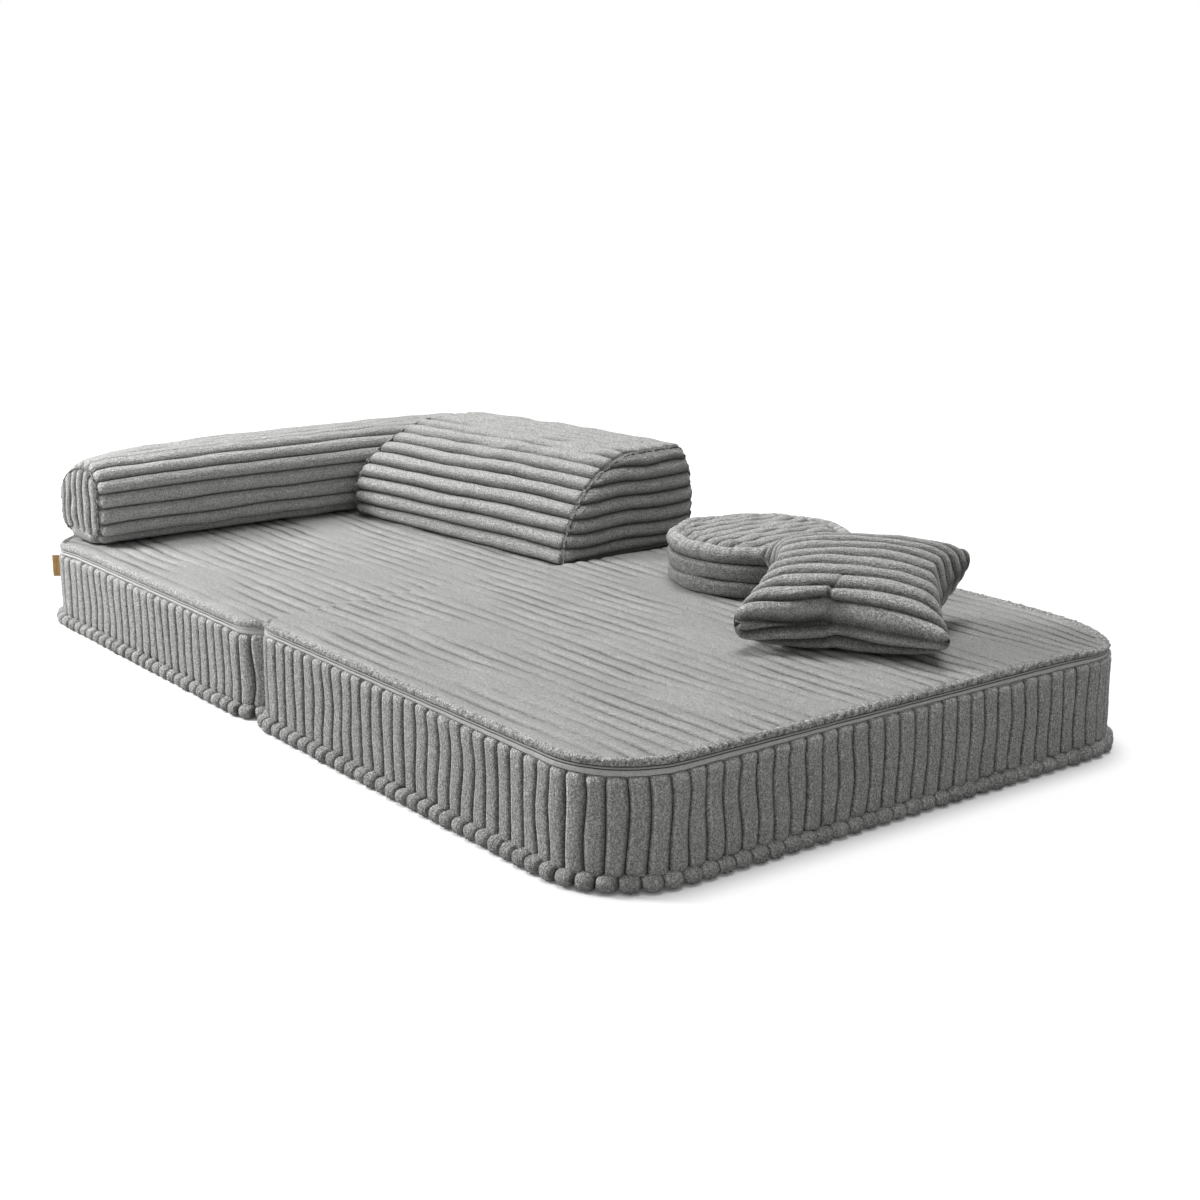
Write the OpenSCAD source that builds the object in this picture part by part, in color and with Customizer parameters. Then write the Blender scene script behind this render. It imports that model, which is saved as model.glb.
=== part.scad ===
// Fold-out armchair for a child: two hinged mattress pads, a curved backrest,
// an armrest, a round cushion and a pillow, all covered in wide-ribbed plush.
// +X points at the fold-out pad's free end, +Y at the back and +Z up.
// The origin is on the floor, under the middle of the open chair.

/* [Pads] */
// Length of the seat pad
seat_len = 595; // [560:5:900]
// Length of the fold-out pad
fold_len = 620; // [590:5:900]
// Depth of both pads, front to back
pad_depth = 700; // [650:10:1000]
// Height of the seat pad, which the backrest and armrest press down a little
seat_h = 110; // [95:1:160]
// Height of the fold-out pad
fold_h = 118; // [95:1:160]
// Radius of the upright corners at the pads' outer ends
corner_r = 86; // [60:1:120]
// Radius of the upright corners at the joint between the pads
joint_r = 38; // [30:1:60]

/* [Ribbed plush] */
// Width of one rib of the plush
rib_pitch = 19.3; // [14:0.1:28]
// Height of the ribs on upright panels
rib_rise = 6; // [3:0.5:8]
// Wadding and cloth behind the ribs
wadding = 5; // [3:0.5:8]
// Fullness of a rib, where 1 is round and less is squarer with a flatter crest
rib_fullness = 0.7; // [0.6:0.05:1]
// Height of the brushed-down ribs on the pads' tops
top_rise = 2.5; // [1:0.5:3.5]
// How much higher a pad's top is along its middle than at its edges
top_crown = 2; // [0:0.5:4]
// Thickness of a pad's top panel
top_panel_h = 5; // [4.5:0.5:8]
// Thickness of the plain cloth under the pads
bottom_cloth = 2; // [1:0.5:3]

/* [Zip] */
// Height of the flat band between the ribs and the zip
flat_band_h = 5; // [4:1:15]
// Height of the zip tape
tape_h = 10; // [9:1:16]
// Thickness of the zip tape
tape_t = 1.6; // [1:0.1:3]
// How far the tape lies behind the crests of the ribs
tape_inset = 5.5; // [5.5:0.5:7]
// Width of the closed teeth
chain_w = 3; // [2:0.5:4]
// How far the teeth stand out of the tape
chain_out = 1.5; // [1:0.1:2]
// Length of the zip slider
slider_l = 10; // [8:1:14]
// Length of the pull's plate
pull_len = 22; // [12:1:30]
// Width of the pull's plate
pull_w = 5.4; // [4:0.2:8]
// Radius of the pin that holds the pull
pull_pin_r = 0.7; // [0.5:0.1:1]

/* [Beaded piping] */
// Radius of one bead
bead_r = 8.5; // [6:0.5:10]
// How far the beads stand out past the ribs
bead_out = 6; // [3:0.5:8]
// How far the floor flattens a bead
bead_squash = 0.5; // [0.2:0.1:1]
// Radius of the piping between two beads
piping_r = 5; // [3:0.5:5.5]

/* [Hinge] */
// Thickness of the hinge cloth
hinge_t = 2.2; // [1:0.2:4]
// How far the hinge cloth stops short of the joint's rounded corners
hinge_end_inset = 25; // [5:5:80]

/* [Backrest] */
// Depth of the backrest, front to back
back_d = 205; // [160:5:260]
// Height of the backrest above the seat
back_h = 126; // [90:1:200]
// Depth of its curved front
back_curve = 125; // [90:5:140]
// Fullness of the curved front, where 2 is an ellipse and 1 is a straight slope
back_fullness = 1.9; // [1.3:0.05:2]
// Radius along its top back edge
back_edge_r = 16; // [12:1:30]
// How far it stands in from the back of the seat
back_inset = 76; // [0:1:100]
// How far it stops short of the joint
back_end_inset = 3; // [1:1:60]
// Turn that sets its end at the joint further back than its end at the armrest
back_turn = 4; // [0:0.5:8]

/* [Armrest] */
// Width of the armrest
arm_w = 135; // [110:5:180]
// Height of the armrest above the seat
arm_h = 106; // [85:1:180]
// How far it stands in from the seat's end
arm_inset = 18; // [2:1:30]
// How far it stands in from the front of the seat
arm_front_inset = 22; // [5:1:60]
// How far it stands in from the back of the seat
arm_back_inset = 83; // [1:1:120]
// Radius of its top edges
arm_top_r = 38; // [20:1:42]
// Radius of its bottom edges
arm_base_r = 26; // [12:1:32]

/* [Bolster covers] */
// Thickness of an end panel at its middle
end_t = 12; // [10:1:16]
// Height of the ribs on an end panel
end_rise = 4; // [2:0.5:5]
// How much the middle of an end panel swells out
end_crown = 4; // [0:0.5:4]
// Number of ribs on an end panel
end_ribs = 7; // [4:1:12]
// Thickness of the cloth under the backrest and armrest
base_cloth = 2.5; // [2:0.5:4]
// Thickness of the edge piping round the end panels
edging_t = 3; // [2:0.5:4]
// How far the edge piping stands out of the grooves
edging_out = 5; // [3:0.5:6]

/* [Fastening strips] */
// Width of the hook and loop strips
strip_w = 40; // [20:5:60]
// Thickness of each strip
strip_t = 1.6; // [1:0.1:1.8]
// How far the strips stop short of what they hold
strip_end_inset = 45; // [20:5:80]

/* [Round cushion] */
// Diameter of the round cushion
round_d = 210; // [160:5:300]
// Height of its ribbed band
round_band_h = 54; // [40:1:90]
// Number of ribs round the band
round_ribs = 3; // [2:1:5]
// How much its top swells above the band
round_crown = 8; // [5:1:16]
// Height of the ribs on its top
round_top_rise = 2.5; // [1:0.5:3]
// Gap between the round cushion and the joint
round_joint_inset = 95; // [20:1:120]
// Gap between the round cushion and the back of the pad
round_back_inset = 50; // [0:1:80]

/* [Pillow] */
// Side of the filled pillow, from corner to corner
pillow_side = 210; // [160:5:300]
// How far it swells upwards at its middle
pillow_top = 46; // [30:1:70]
// How far it swells downwards at its middle
pillow_under = 36; // [20:1:60]
// How far the middle of each side draws in
pillow_draw = 14; // [0:1:24]
// Half-thickness of its corners
pillow_ear = 14; // [6:1:18]
// Number of ribs across it
pillow_ribs = 11; // [8:1:13]
// Height of its ribs
pillow_rise = 5; // [2:0.5:6]
// Thickness of its cover
pillow_wall = 8; // [6:1:10]
// Turn of its front edge away from the chair's long side
pillow_turn = 38; // [0:1:90]
// Tilt that raises its back edge
pillow_tilt = 9; // [0:1:12]
// Bearing of the pillow, seen from the round cushion
pillow_bearing = -20; // [-45:1:10]
// Gap between the pillow's corner and the round cushion
pillow_gap = 2; // [1:1:40]

/* [Leather tab] */
// Height of the folded leather tab
tab_h = 28; // [15:1:45]
// How far it stands out of the ribs
tab_out = 11; // [8:1:20]
// Thickness of the folded leather
tab_t = 3; // [2:0.5:5]
// Height of its lower edge above the floor
tab_z = 54; // [25:1:60]
// Its place round the seat's outer front corner, from the front side
tab_turn = 32; // [0:1:90]

/* [Fit] */
// Clearance between pieces that part, turn or slide
clear = 0.3; // [0.2:0.05:0.5]

/* [Hidden] */
$fn = 48;
TOP_COLOR = "#BDBDBB";
SIDE_COLOR = "#969694";
CLOTH_COLOR = "#7C7C7A";
FOAM_COLOR = "#E8E2D0";
ZIP_COLOR = "#5E5E5C";
METAL_COLOR = "#9A9A98";
LEATHER_COLOR = "#A5814F";

rib_steps = 6;
arc_steps = 8;
curve_steps = 20;
half_depth = pad_depth / 2;
side_wall = rib_rise + wadding;
foam_inset = side_wall + clear;
// The flat band under the zip starts inside the ribs and stands just proud of their grooves
band_overlap = 1;
flat_band_inset = rib_rise - band_overlap / 2;
piping_z = bead_r - bead_squash;
band_z = piping_z + bead_r + clear;
bead_inset = bead_r - bead_out;

// The leather tab is sewn into a groove of the seat's ribs
seat_rib = 2 * half_way(seat_len) / round(2 * half_way(seat_len) / rib_pitch);
tab_way = corner_start(seat_len) + tab_turn / 180 * PI * corner_r;
tab_place = outline_at(seat_len, (round(tab_way / seat_rib - 0.5) + 0.5) * seat_rib);

// Places of the pads, centred on the chair with what stands out of them
left_reach = max(bead_out, tab_place[0] + tab_out * tab_place[2] - seat_len);
open_len = left_reach + seat_len + clear + fold_len + bead_out;
seat_joint_x = -open_len / 2 + left_reach + seat_len;
fold_joint_x = seat_joint_x + clear;
seat_end_x = seat_joint_x - seat_len;

// Places of the backrest and armrest
arm_x = seat_end_x + arm_inset;
arm_y = -half_depth + arm_front_inset;
arm_len = half_depth - arm_back_inset - arm_y;
back_room = seat_joint_x - back_end_inset - arm_x - arm_w - clear;
back_len = (back_room - back_d * sin(back_turn)) / cos(back_turn);
back_x = seat_joint_x - back_end_inset - back_len * cos(back_turn);
back_y = half_depth - back_inset - back_d * cos(back_turn) - back_len * sin(back_turn);
bolster_z = seat_h + clear;

// Places of the loose cushions
round_r = round_d / 2;
round_x = fold_joint_x + round_joint_inset + round_r;
round_y = half_depth - round_back_inset - round_r;
pillow_step = round_r + pillow_side / sqrt(2) + pillow_gap;
pillow_x = round_x + pillow_step * cos(pillow_bearing);
pillow_y = round_y + pillow_step * sin(pillow_bearing);

// Zip slider and pull
slider_w = tape_h - 3;
slot_gap = 0.4;
slot_w = chain_w + 2 * slot_gap;
slot_out = chain_out + slot_gap;
slider_inset = 0.8;
eye_bore_r = pull_pin_r + clear;
eye_r = eye_bore_r + 0.8;
pin_out = eye_r - slider_inset + clear;
ear_t = 1.2;
slider_x = joint_r + slider_l;

// Rise of a rib at step j of its width: 0 in the groove and 1 on the crest
function rib_height(j) = pow(sin(180 * j / rib_steps), rib_fullness);
// Share of the rib's width at step j, closer together beside the grooves
function rib_share(j) =
    let (c = cos(180 * j / rib_steps)) (1 - sign(c) * pow(abs(c), rib_fullness)) / 2;

// Half the way round a pad's outline, from the middle of the joint side
function joint_half() = half_depth - joint_r;
function front_len(len) = len - joint_r - corner_r;
function corner_start(len) = joint_half() + joint_r * PI / 2 + front_len(len);
function half_way(len) = corner_start(len) + corner_r * PI / 2 + half_depth - corner_r;

// Point of a pad's outline at distance s from the middle of its joint side,
// as [x, y, outward x, outward y]
function outline_at(len, s) =
    let (half = half_way(len), a = joint_half(), b = a + joint_r * PI / 2,
         c = corner_start(len), d = c + corner_r * PI / 2)
    s > half ? let (q = outline_at(len, 2 * half - s)) [q[0], -q[1], q[2], -q[3]]
    : s < a ? [0, -s, -1, 0]
    : s < b ? on_corner(joint_r, joint_r, 180 + (s - a) / joint_r * 180 / PI)
    : s < c ? [joint_r + s - b, -half_depth, 0, -1]
    : s < d ? on_corner(len - corner_r, corner_r, 270 + (s - c) / corner_r * 180 / PI)
    : [len, corner_r - half_depth + s - d, 1, 0];
function on_corner(x, r, turn) =
    [x + r * cos(turn), r - half_depth + r * sin(turn), cos(turn), sin(turn)];

// Outline of a pad with its upright ribs
function ribbed_outline(len) =
    let (way = 2 * half_way(len), n = round(way / rib_pitch))
    [for (i = [0:n - 1], j = [0:rib_steps - 1])
        let (q = outline_at(len, (i + rib_share(j)) * way / n), back = rib_rise * (1 - rib_height(j)))
        [q[0] - q[2] * back, q[1] - q[3] * back]];

// Plain outline of a pad, drawn in by inset
module pad_plan(len, inset) {
    translate([joint_r, inset - half_depth])
        square([front_len(len), 2 * (half_depth - inset)]);
    translate([inset, joint_r - half_depth])
        square([joint_r - inset, 2 * (half_depth - joint_r)]);
    translate([len - corner_r, corner_r - half_depth])
        square([corner_r - inset, 2 * (half_depth - corner_r)]);
    for (side = [-1, 1]) {
        translate([joint_r, side * (half_depth - joint_r)]) circle(joint_r - inset);
        translate([len - corner_r, side * (half_depth - corner_r)]) circle(corner_r - inset);
    }
}

module pad_ring(len, outer, inner, z0, z1) {
    translate([0, 0, z0]) linear_extrude(z1 - z0) difference() {
        pad_plan(len, outer);
        pad_plan(len, inner);
    }
}

// Heights of the layers of a pad's side
function tape_top(h) = h - top_panel_h;
function tape_z(h) = tape_top(h) - tape_h;
function ribs_top(h) = tape_z(h) - flat_band_h;
function zip_z(h) = tape_z(h) + tape_h / 2;
hinge_len = 2 * (half_depth - joint_r - hinge_end_inset);

module pad_foam(len, h) {
    color(FOAM_COLOR) {
        translate([0, 0, bottom_cloth + clear])
            linear_extrude(tape_z(h) - bottom_cloth - clear) pad_plan(len, foam_inset);
        translate([0, 0, tape_z(h)])
            linear_extrude(tape_h - clear) pad_plan(len, tape_inset + tape_t + clear);
        translate([hinge_t + clear, -hinge_len / 2, bottom_cloth + clear])
            cube([foam_inset - hinge_t, hinge_len, band_z - bottom_cloth - 2 * clear]);
    }
}

module pad_side_band(len, h) {
    color(SIDE_COLOR) difference() {
        union() {
            translate([0, 0, band_z])
                linear_extrude(ribs_top(h) - band_z) polygon(ribbed_outline(len));
            translate([0, 0, ribs_top(h) - band_overlap])
                linear_extrude(flat_band_h + band_overlap) pad_plan(len, flat_band_inset);
        }
        translate([0, 0, band_z - 1])
            linear_extrude(h) pad_plan(len, side_wall);
    }
}

// Profile across a pad's top panel, with its low ribs and rounded edges
function top_profile(h) =
    let (w = 2 * half_depth - rib_rise, n = round(w / rib_pitch), e = top_panel_h)
    concat([[w / 2, h - e], [-w / 2, h - e]],
        [for (i = [0:n - 1], j = [0:rib_steps - 1])
            let (t = (i + rib_share(j)) / n, y = w * (t - 0.5), edge = min(1, w * min(t, 1 - t) / e),
                 low = top_rise * (1 - rib_height(j)) + top_crown * pow(2 * t - 1, 2))
            if (i + j > 0) [y, h - e + (e - low) * sqrt(1 - pow(1 - edge, 2))]]);
function top_edges(len, h) =
    let (e = top_panel_h, x0 = 0, x1 = len - rib_rise / 2)
    concat([[x0, h - e]], [for (a = [180:-15:90]) [x0 + e + e * cos(a), h - e + e * sin(a)]],
        [for (a = [90:-15:0]) [x1 - e + e * cos(a), h - e + e * sin(a)]]);

module pad_top_panel(len, h) {
    color(TOP_COLOR) intersection() {
        rotate([90, 0, 90]) linear_extrude(len) polygon(top_profile(h));
        translate([0, half_depth, 0]) rotate([90, 0, 0])
            linear_extrude(pad_depth) polygon(top_edges(len, h));
        translate([0, 0, h - top_panel_h - 1]) linear_extrude(top_panel_h + 2)
            pad_plan(len, 0);
    }
}

module pad_bottom_panel(len) {
    color(CLOTH_COLOR) linear_extrude(bottom_cloth) pad_plan(len, foam_inset);
}

module pad_zip_tape(len, h) {
    color(ZIP_COLOR) pad_ring(len, tape_inset, tape_inset + tape_t, tape_z(h), tape_top(h));
}

// The teeth run round the three free sides and stop at the joint's corners
module pad_zip_teeth(len, h) {
    color(ZIP_COLOR) difference() {
        pad_ring(len, tape_inset - chain_out, tape_inset, zip_z(h) - chain_w / 2, zip_z(h) + chain_w / 2);
        translate([-1, -half_depth, 0]) cube([joint_r + 1, pad_depth, h]);
    }
}

// The slider straddles the teeth on the back side, nearest the joint
module pad_zip_slider(h) {
    out = tape_inset - clear - slider_inset;
    face_y = half_depth - slider_inset;
    color(METAL_COLOR) translate([slider_x, face_y, zip_z(h)]) {
        difference() {
            translate([-slider_l / 2, -out, -slider_w / 2]) cube([slider_l, out, slider_w]);
            translate([-slider_l / 2 - 1, -out - 1, -slot_w / 2])
                cube([slider_l + 2, 1 + slot_out - clear, slot_w]);
        }
        for (side = [-1, 1])
            translate([side * (pull_w / 2 + clear + ear_t / 2) - ear_t / 2, 0, -eye_r])
                cube([ear_t, pin_out + slider_inset + eye_r, 2 * eye_r]);
        translate([-pull_w / 2 - clear, slider_inset + pin_out, 0]) rotate([0, 90, 0])
            cylinder(h = pull_w + 2 * clear, r = pull_pin_r);
    }
}

module pad_zip_pull(h) {
    color(METAL_COLOR) translate([slider_x, half_depth + pin_out, zip_z(h)]) difference() {
        union() {
            translate([-pull_w / 2, 0, 0]) rotate([0, 90, 0]) cylinder(h = pull_w, r = eye_r);
            translate([-pull_w / 2, -ear_t / 2, -pull_len]) cube([pull_w, ear_t, pull_len]);
        }
        translate([-pull_w / 2 - 1, 0, 0]) rotate([0, 90, 0])
            cylinder(h = pull_w + 2, r = eye_bore_r);
    }
}

// Beads follow the three free sides and turn in at the joint as far as they fit
function bead_start() =
    joint_half() + joint_r * PI / 2
    - joint_r * asin((joint_r - bead_r - clear) / (joint_r - bead_inset)) * PI / 180;
function bead_places(len) =
    let (s0 = bead_start(), way = 2 * half_way(len) - 2 * s0, n = round(way / rib_pitch))
    [for (i = [0:n]) let (q = outline_at(len, s0 + i * way / n))
        [q[0] - q[2] * bead_inset, q[1] - q[3] * bead_inset, piping_z]];

// The piping between two beads, from inside one to inside the other
module link(from, to) {
    step = to - from;
    translate(from + step / 5) rotate([0, 90, atan2(step[1], step[0])])
        cylinder(h = norm(step) * 3 / 5, r = piping_r);
}

module pad_beaded_piping(len) {
    places = bead_places(len);
    color(SIDE_COLOR) difference() {
        union() {
            for (p = places) translate(p) sphere(bead_r);
            for (i = [1:len(places) - 1]) link(places[i - 1], places[i]);
        }
        translate([-1, -pad_depth, -bead_r]) cube([len + bead_r, 2 * pad_depth, bead_r]);
    }
}

// An angle of cloth sewn to the pad's lower edge, which meets its fellow at the joint
module pad_hinge_cloth() {
    color(CLOTH_COLOR) translate([0, hinge_len / 2, 0]) rotate([90, 0, 0]) linear_extrude(hinge_len)
        polygon([[0, 0], [foam_inset - clear, 0], [foam_inset - clear, bottom_cloth],
                 [hinge_t, bottom_cloth], [hinge_t, band_z - clear], [0, band_z - clear]]);
}

module at_seat() {
    translate([seat_joint_x, 0, 0]) mirror([1, 0, 0]) children();
}

module at_foldout() {
    translate([fold_joint_x, 0, 0]) children();
}

module seat_foam() at_seat() pad_foam(seat_len, seat_h);
module seat_side_band() at_seat() pad_side_band(seat_len, seat_h);
module seat_bottom_panel() at_seat() pad_bottom_panel(seat_len);
module seat_zip_tape() at_seat() pad_zip_tape(seat_len, seat_h);
module seat_zip_teeth() at_seat() pad_zip_teeth(seat_len, seat_h);
module seat_zip_slider() at_seat() pad_zip_slider(seat_h);
module seat_zip_pull() at_seat() pad_zip_pull(seat_h);
module seat_beaded_piping() at_seat() pad_beaded_piping(seat_len);
module seat_hinge_cloth() at_seat() pad_hinge_cloth();

module foldout_foam() at_foldout() pad_foam(fold_len, fold_h);
module foldout_side_band() at_foldout() pad_side_band(fold_len, fold_h);
module foldout_top_panel() at_foldout() pad_top_panel(fold_len, fold_h);
module foldout_bottom_panel() at_foldout() pad_bottom_panel(fold_len);
module foldout_zip_tape() at_foldout() pad_zip_tape(fold_len, fold_h);
module foldout_zip_teeth() at_foldout() pad_zip_teeth(fold_len, fold_h);
module foldout_zip_slider() at_foldout() pad_zip_slider(fold_h);
module foldout_zip_pull() at_foldout() pad_zip_pull(fold_h);
module foldout_beaded_piping() at_foldout() pad_beaded_piping(fold_len);
module foldout_hinge_cloth() at_foldout() pad_hinge_cloth();

// The hook strips are let into the seat's top, and the loop strips into the bolsters' bases
module back_strip(grow) {
    translate([back_x, back_y]) rotate([0, 0, back_turn])
        translate([strip_end_inset - grow, (back_d - strip_w) / 2 - grow])
        square([back_len - 2 * strip_end_inset + 2 * grow, strip_w + 2 * grow]);
}

module arm_strip(grow) {
    translate([arm_x + (arm_w - strip_w) / 2 - grow, arm_y + strip_end_inset - grow])
        square([strip_w + 2 * grow, arm_len - 2 * strip_end_inset + 2 * grow]);
}

module seat_top_panel() {
    color(TOP_COLOR) difference() {
        at_seat() pad_top_panel(seat_len, seat_h);
        translate([0, 0, seat_h - strip_t - clear]) linear_extrude(strip_t + 1) {
            back_strip(clear);
            arm_strip(clear);
        }
    }
}

module backrest_hook_strip() {
    color(CLOTH_COLOR) translate([0, 0, seat_h - strip_t]) linear_extrude(strip_t) back_strip(0);
}

module armrest_hook_strip() {
    color(CLOTH_COLOR) translate([0, 0, seat_h - strip_t]) linear_extrude(strip_t) arm_strip(0);
}

module leather_tab() {
    plate = tab_out - clear - tab_t / 2;
    color(LEATHER_COLOR) at_seat() translate([tab_place[0], tab_place[1], tab_z])
        rotate([0, 0, atan2(tab_place[3], tab_place[2])]) translate([clear, -tab_t / 2, 0]) {
            cube([plate, tab_t, tab_h]);
            translate([plate, tab_t / 2, 0]) cylinder(h = tab_h, r = tab_t / 2);
        }
}

// Distance of each point of a path from its start
function way_along(path) =
    [for (i = 0, s = 0; i < len(path);
          s = s + norm(path[min(i + 1, len(path) - 1)] - path[i]), i = i + 1) s];
function at_way(path, ways, s) =
    [lookup(s, [for (i = [0:len(path) - 1]) [ways[i], path[i][0]]]),
     lookup(s, [for (i = [0:len(path) - 1]) [ways[i], path[i][1]]])];

// A clockwise path with ribs of the given rise below it
function ribbed_path(path, rise) =
    let (ways = way_along(path), total = ways[len(path) - 1], n = round(total / rib_pitch))
    [for (i = [0:n - 1], j = [0:rib_steps])
        if (j < rib_steps || i == n - 1)
        let (s = (i + rib_share(j)) * total / n,
             a = at_way(path, ways, max(0, s - 1)), b = at_way(path, ways, min(total, s + 1)),
             step = (b - a) / norm(b - a))
        at_way(path, ways, s) + [step[1], -step[0]] * rise * (1 - rib_height(j))];

function arc(x, y, r, from, to) =
    [for (i = [0:arc_steps]) let (a = from + (to - from) * i / arc_steps) [x + r * cos(a), y + r * sin(a)]];

// Cross-section of the backrest, drawn in by inset: curved front, flat top, rounded back edge
function back_outline(inset) = concat(
    [for (i = [0:curve_steps]) let (a = 90 * i / curve_steps)
        [back_curve - (back_curve - inset) * pow(cos(a), 2 / back_fullness),
         (back_h - inset) * pow(sin(a), 2 / back_fullness)]],
    arc(back_d - back_edge_r, back_h - back_edge_r, back_edge_r - inset, 90, 0),
    [[back_d - inset, 0]]);

// Cross-section of the armrest, drawn in by inset
function arm_outline(inset) = concat(
    arc(arm_base_r, arm_base_r, arm_base_r - inset, 270, 180),
    arc(arm_top_r, arm_h - arm_top_r, arm_top_r - inset, 180, 90),
    arc(arm_w - arm_top_r, arm_h - arm_top_r, arm_top_r - inset, 90, 0),
    arc(arm_w - arm_base_r, arm_base_r, arm_base_r - inset, 0, -90));

// What a bolster's main panel wraps: the same section, open at its base
module bolster_core(outline, width) {
    foot = outline[0][0];
    polygon(concat([[foot, -1]], outline, [[width - foot, -1]]));
}

// The backrest is built with its left front foot at the origin
module at_backrest() {
    translate([back_x, back_y, bolster_z]) rotate([0, 0, back_turn]) children();
}

// A slice of the backrest between two distances from its left end
module back_slice(x0, x1) {
    translate([x0, 0, 0]) rotate([90, 0, 90]) linear_extrude(x1 - x0) children();
}

// A slice of the armrest between two distances from its front end
module arm_slice(y0, y1) {
    translate([arm_x, arm_y + y1, bolster_z])
        rotate([90, 0, 0]) linear_extrude(y1 - y0) children();
}

// Ribbed wall of a bolster, which stands on its base
module main_panel(outline, inner, width, height) {
    difference() {
        intersection() {
            polygon(ribbed_path(outline, rib_rise));
            square([width, height]);
        }
        bolster_core(inner, width);
    }
}

module edging_ring(outline, inner, width) {
    difference() {
        polygon(outline);
        bolster_core(inner, width);
    }
}

// What lies inside a bolster between two heights
module core_layer(inner, width, z0, z1) {
    intersection() {
        bolster_core(inner, width);
        translate([0, z0]) square([width, z1 - z0]);
    }
}

// Ribs across an end panel of the given width, as [across, depth below the crests]
function end_profile(width) = concat(
    [for (i = [0:end_ribs - 1], j = [0:rib_steps])
        if (j < rib_steps || i == end_ribs - 1)
        let (t = (i + rib_share(j)) / end_ribs)
        [width * t, end_crown * pow(2 * t - 1, 2) + end_rise * (1 - rib_height(j))]],
    [[width, end_t], [0, end_t]]);

cover_gap = end_t + edging_t;

module backrest_foam() {
    color(FOAM_COLOR) at_backrest() back_slice(end_t + clear, back_len - end_t - clear)
        core_layer(back_outline(side_wall + clear), back_d, base_cloth + clear, back_h);
}

module backrest_main_panel() {
    color(SIDE_COLOR) at_backrest() back_slice(cover_gap, back_len - cover_gap)
        main_panel(back_outline(0), back_outline(side_wall), back_d, back_h);
}

module backrest_base_panel() {
    color(CLOTH_COLOR) difference() {
        at_backrest() back_slice(end_t, back_len - end_t)
            core_layer(back_outline(side_wall), back_d, 0, base_cloth);
        translate([0, 0, bolster_z - 1]) linear_extrude(1 + strip_t) back_strip(clear);
    }
}

module backrest_loop_strip() {
    color(CLOTH_COLOR) translate([0, 0, bolster_z]) linear_extrude(strip_t) back_strip(0);
}

module backrest_edging() {
    color(SIDE_COLOR) at_backrest() for (x = [end_t, back_len - cover_gap])
        back_slice(x, x + edging_t)
            edging_ring(back_outline(rib_rise - edging_out), back_outline(side_wall), back_d);
}

// The backrest's end panels have level ribs
module backrest_end() {
    intersection() {
        back_slice(0, end_t) polygon(back_outline(rib_rise / 2));
        translate([0, back_d, 0]) rotate([90, 0, 0]) linear_extrude(back_d)
            polygon([for (p = end_profile(back_h)) [p[1], p[0]]]);
    }
}

module backrest_end_left() color(SIDE_COLOR) at_backrest() backrest_end();

module backrest_end_right() {
    color(SIDE_COLOR) at_backrest() translate([back_len, 0, 0]) mirror([1, 0, 0]) backrest_end();
}

module armrest_foam() {
    color(FOAM_COLOR) arm_slice(end_t + clear, arm_len - end_t - clear)
        core_layer(arm_core(side_wall + clear), arm_w, base_cloth + clear, arm_h);
}

module armrest_main_panel() {
    color(SIDE_COLOR) arm_slice(cover_gap, arm_len - cover_gap)
        main_panel(arm_outline(0), arm_core(side_wall), arm_w, arm_h);
}

module armrest_base_panel() {
    color(CLOTH_COLOR) difference() {
        arm_slice(end_t, arm_len - end_t)
            translate([arm_base_r, 0]) square([arm_w - 2 * arm_base_r, base_cloth]);
        translate([0, 0, bolster_z - 1]) linear_extrude(1 + strip_t) arm_strip(clear);
    }
}

module armrest_loop_strip() {
    color(CLOTH_COLOR) translate([0, 0, bolster_z]) linear_extrude(strip_t) arm_strip(0);
}

module armrest_edging() {
    color(SIDE_COLOR) for (y = [end_t, arm_len - cover_gap])
        arm_slice(y, y + edging_t)
            edging_ring(arm_outline(rib_rise - edging_out), arm_core(side_wall), arm_w);
}

// The armrest's inside, with upright walls that slope in to its base
function arm_core(inset) =
    let (foot = arm_base_r + inset - side_wall)
    concat([[foot, 0], [inset, arm_base_r]],
        arc(arm_top_r, arm_h - arm_top_r, arm_top_r - inset, 180, 90),
        arc(arm_w - arm_top_r, arm_h - arm_top_r, arm_top_r - inset, 90, 0),
        [[arm_w - inset, arm_base_r], [arm_w - foot, 0]]);

// The armrest's end panels have upright ribs
module armrest_end() {
    intersection() {
        arm_slice(0, end_t) polygon(arm_outline(rib_rise / 2));
        translate([arm_x, arm_y, bolster_z - 1]) linear_extrude(arm_h + 2)
            polygon(end_profile(arm_w));
    }
}

module armrest_end_front() color(SIDE_COLOR) armrest_end();

module armrest_end_back() {
    color(SIDE_COLOR) translate([0, 2 * arm_y + arm_len, 0]) mirror([0, 1, 0]) armrest_end();
}

module at_round_cushion() {
    translate([round_x, round_y, fold_h + clear]) children();
}

module round_cushion_filling() {
    color(FOAM_COLOR) at_round_cushion() translate([0, 0, bottom_cloth + clear])
        cylinder(h = round_band_h - bottom_cloth - 2 * clear, r = round_r - side_wall - clear);
}

// Its band has level ribs
module round_cushion_band() {
    color(SIDE_COLOR) at_round_cushion() rotate_extrude($fn = 96) polygon(concat(
        [[round_r - side_wall, round_band_h], [round_r - side_wall, 0]],
        [for (i = [0:round_ribs - 1], j = [0:rib_steps]) if (j < rib_steps || i == round_ribs - 1)
            [round_r - rib_rise * (1 - rib_height(j)), (i + rib_share(j)) * round_band_h / round_ribs]]));
}

module round_cushion_bottom() {
    color(CLOTH_COLOR) at_round_cushion() cylinder(h = bottom_cloth, r = round_r - side_wall);
}

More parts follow.
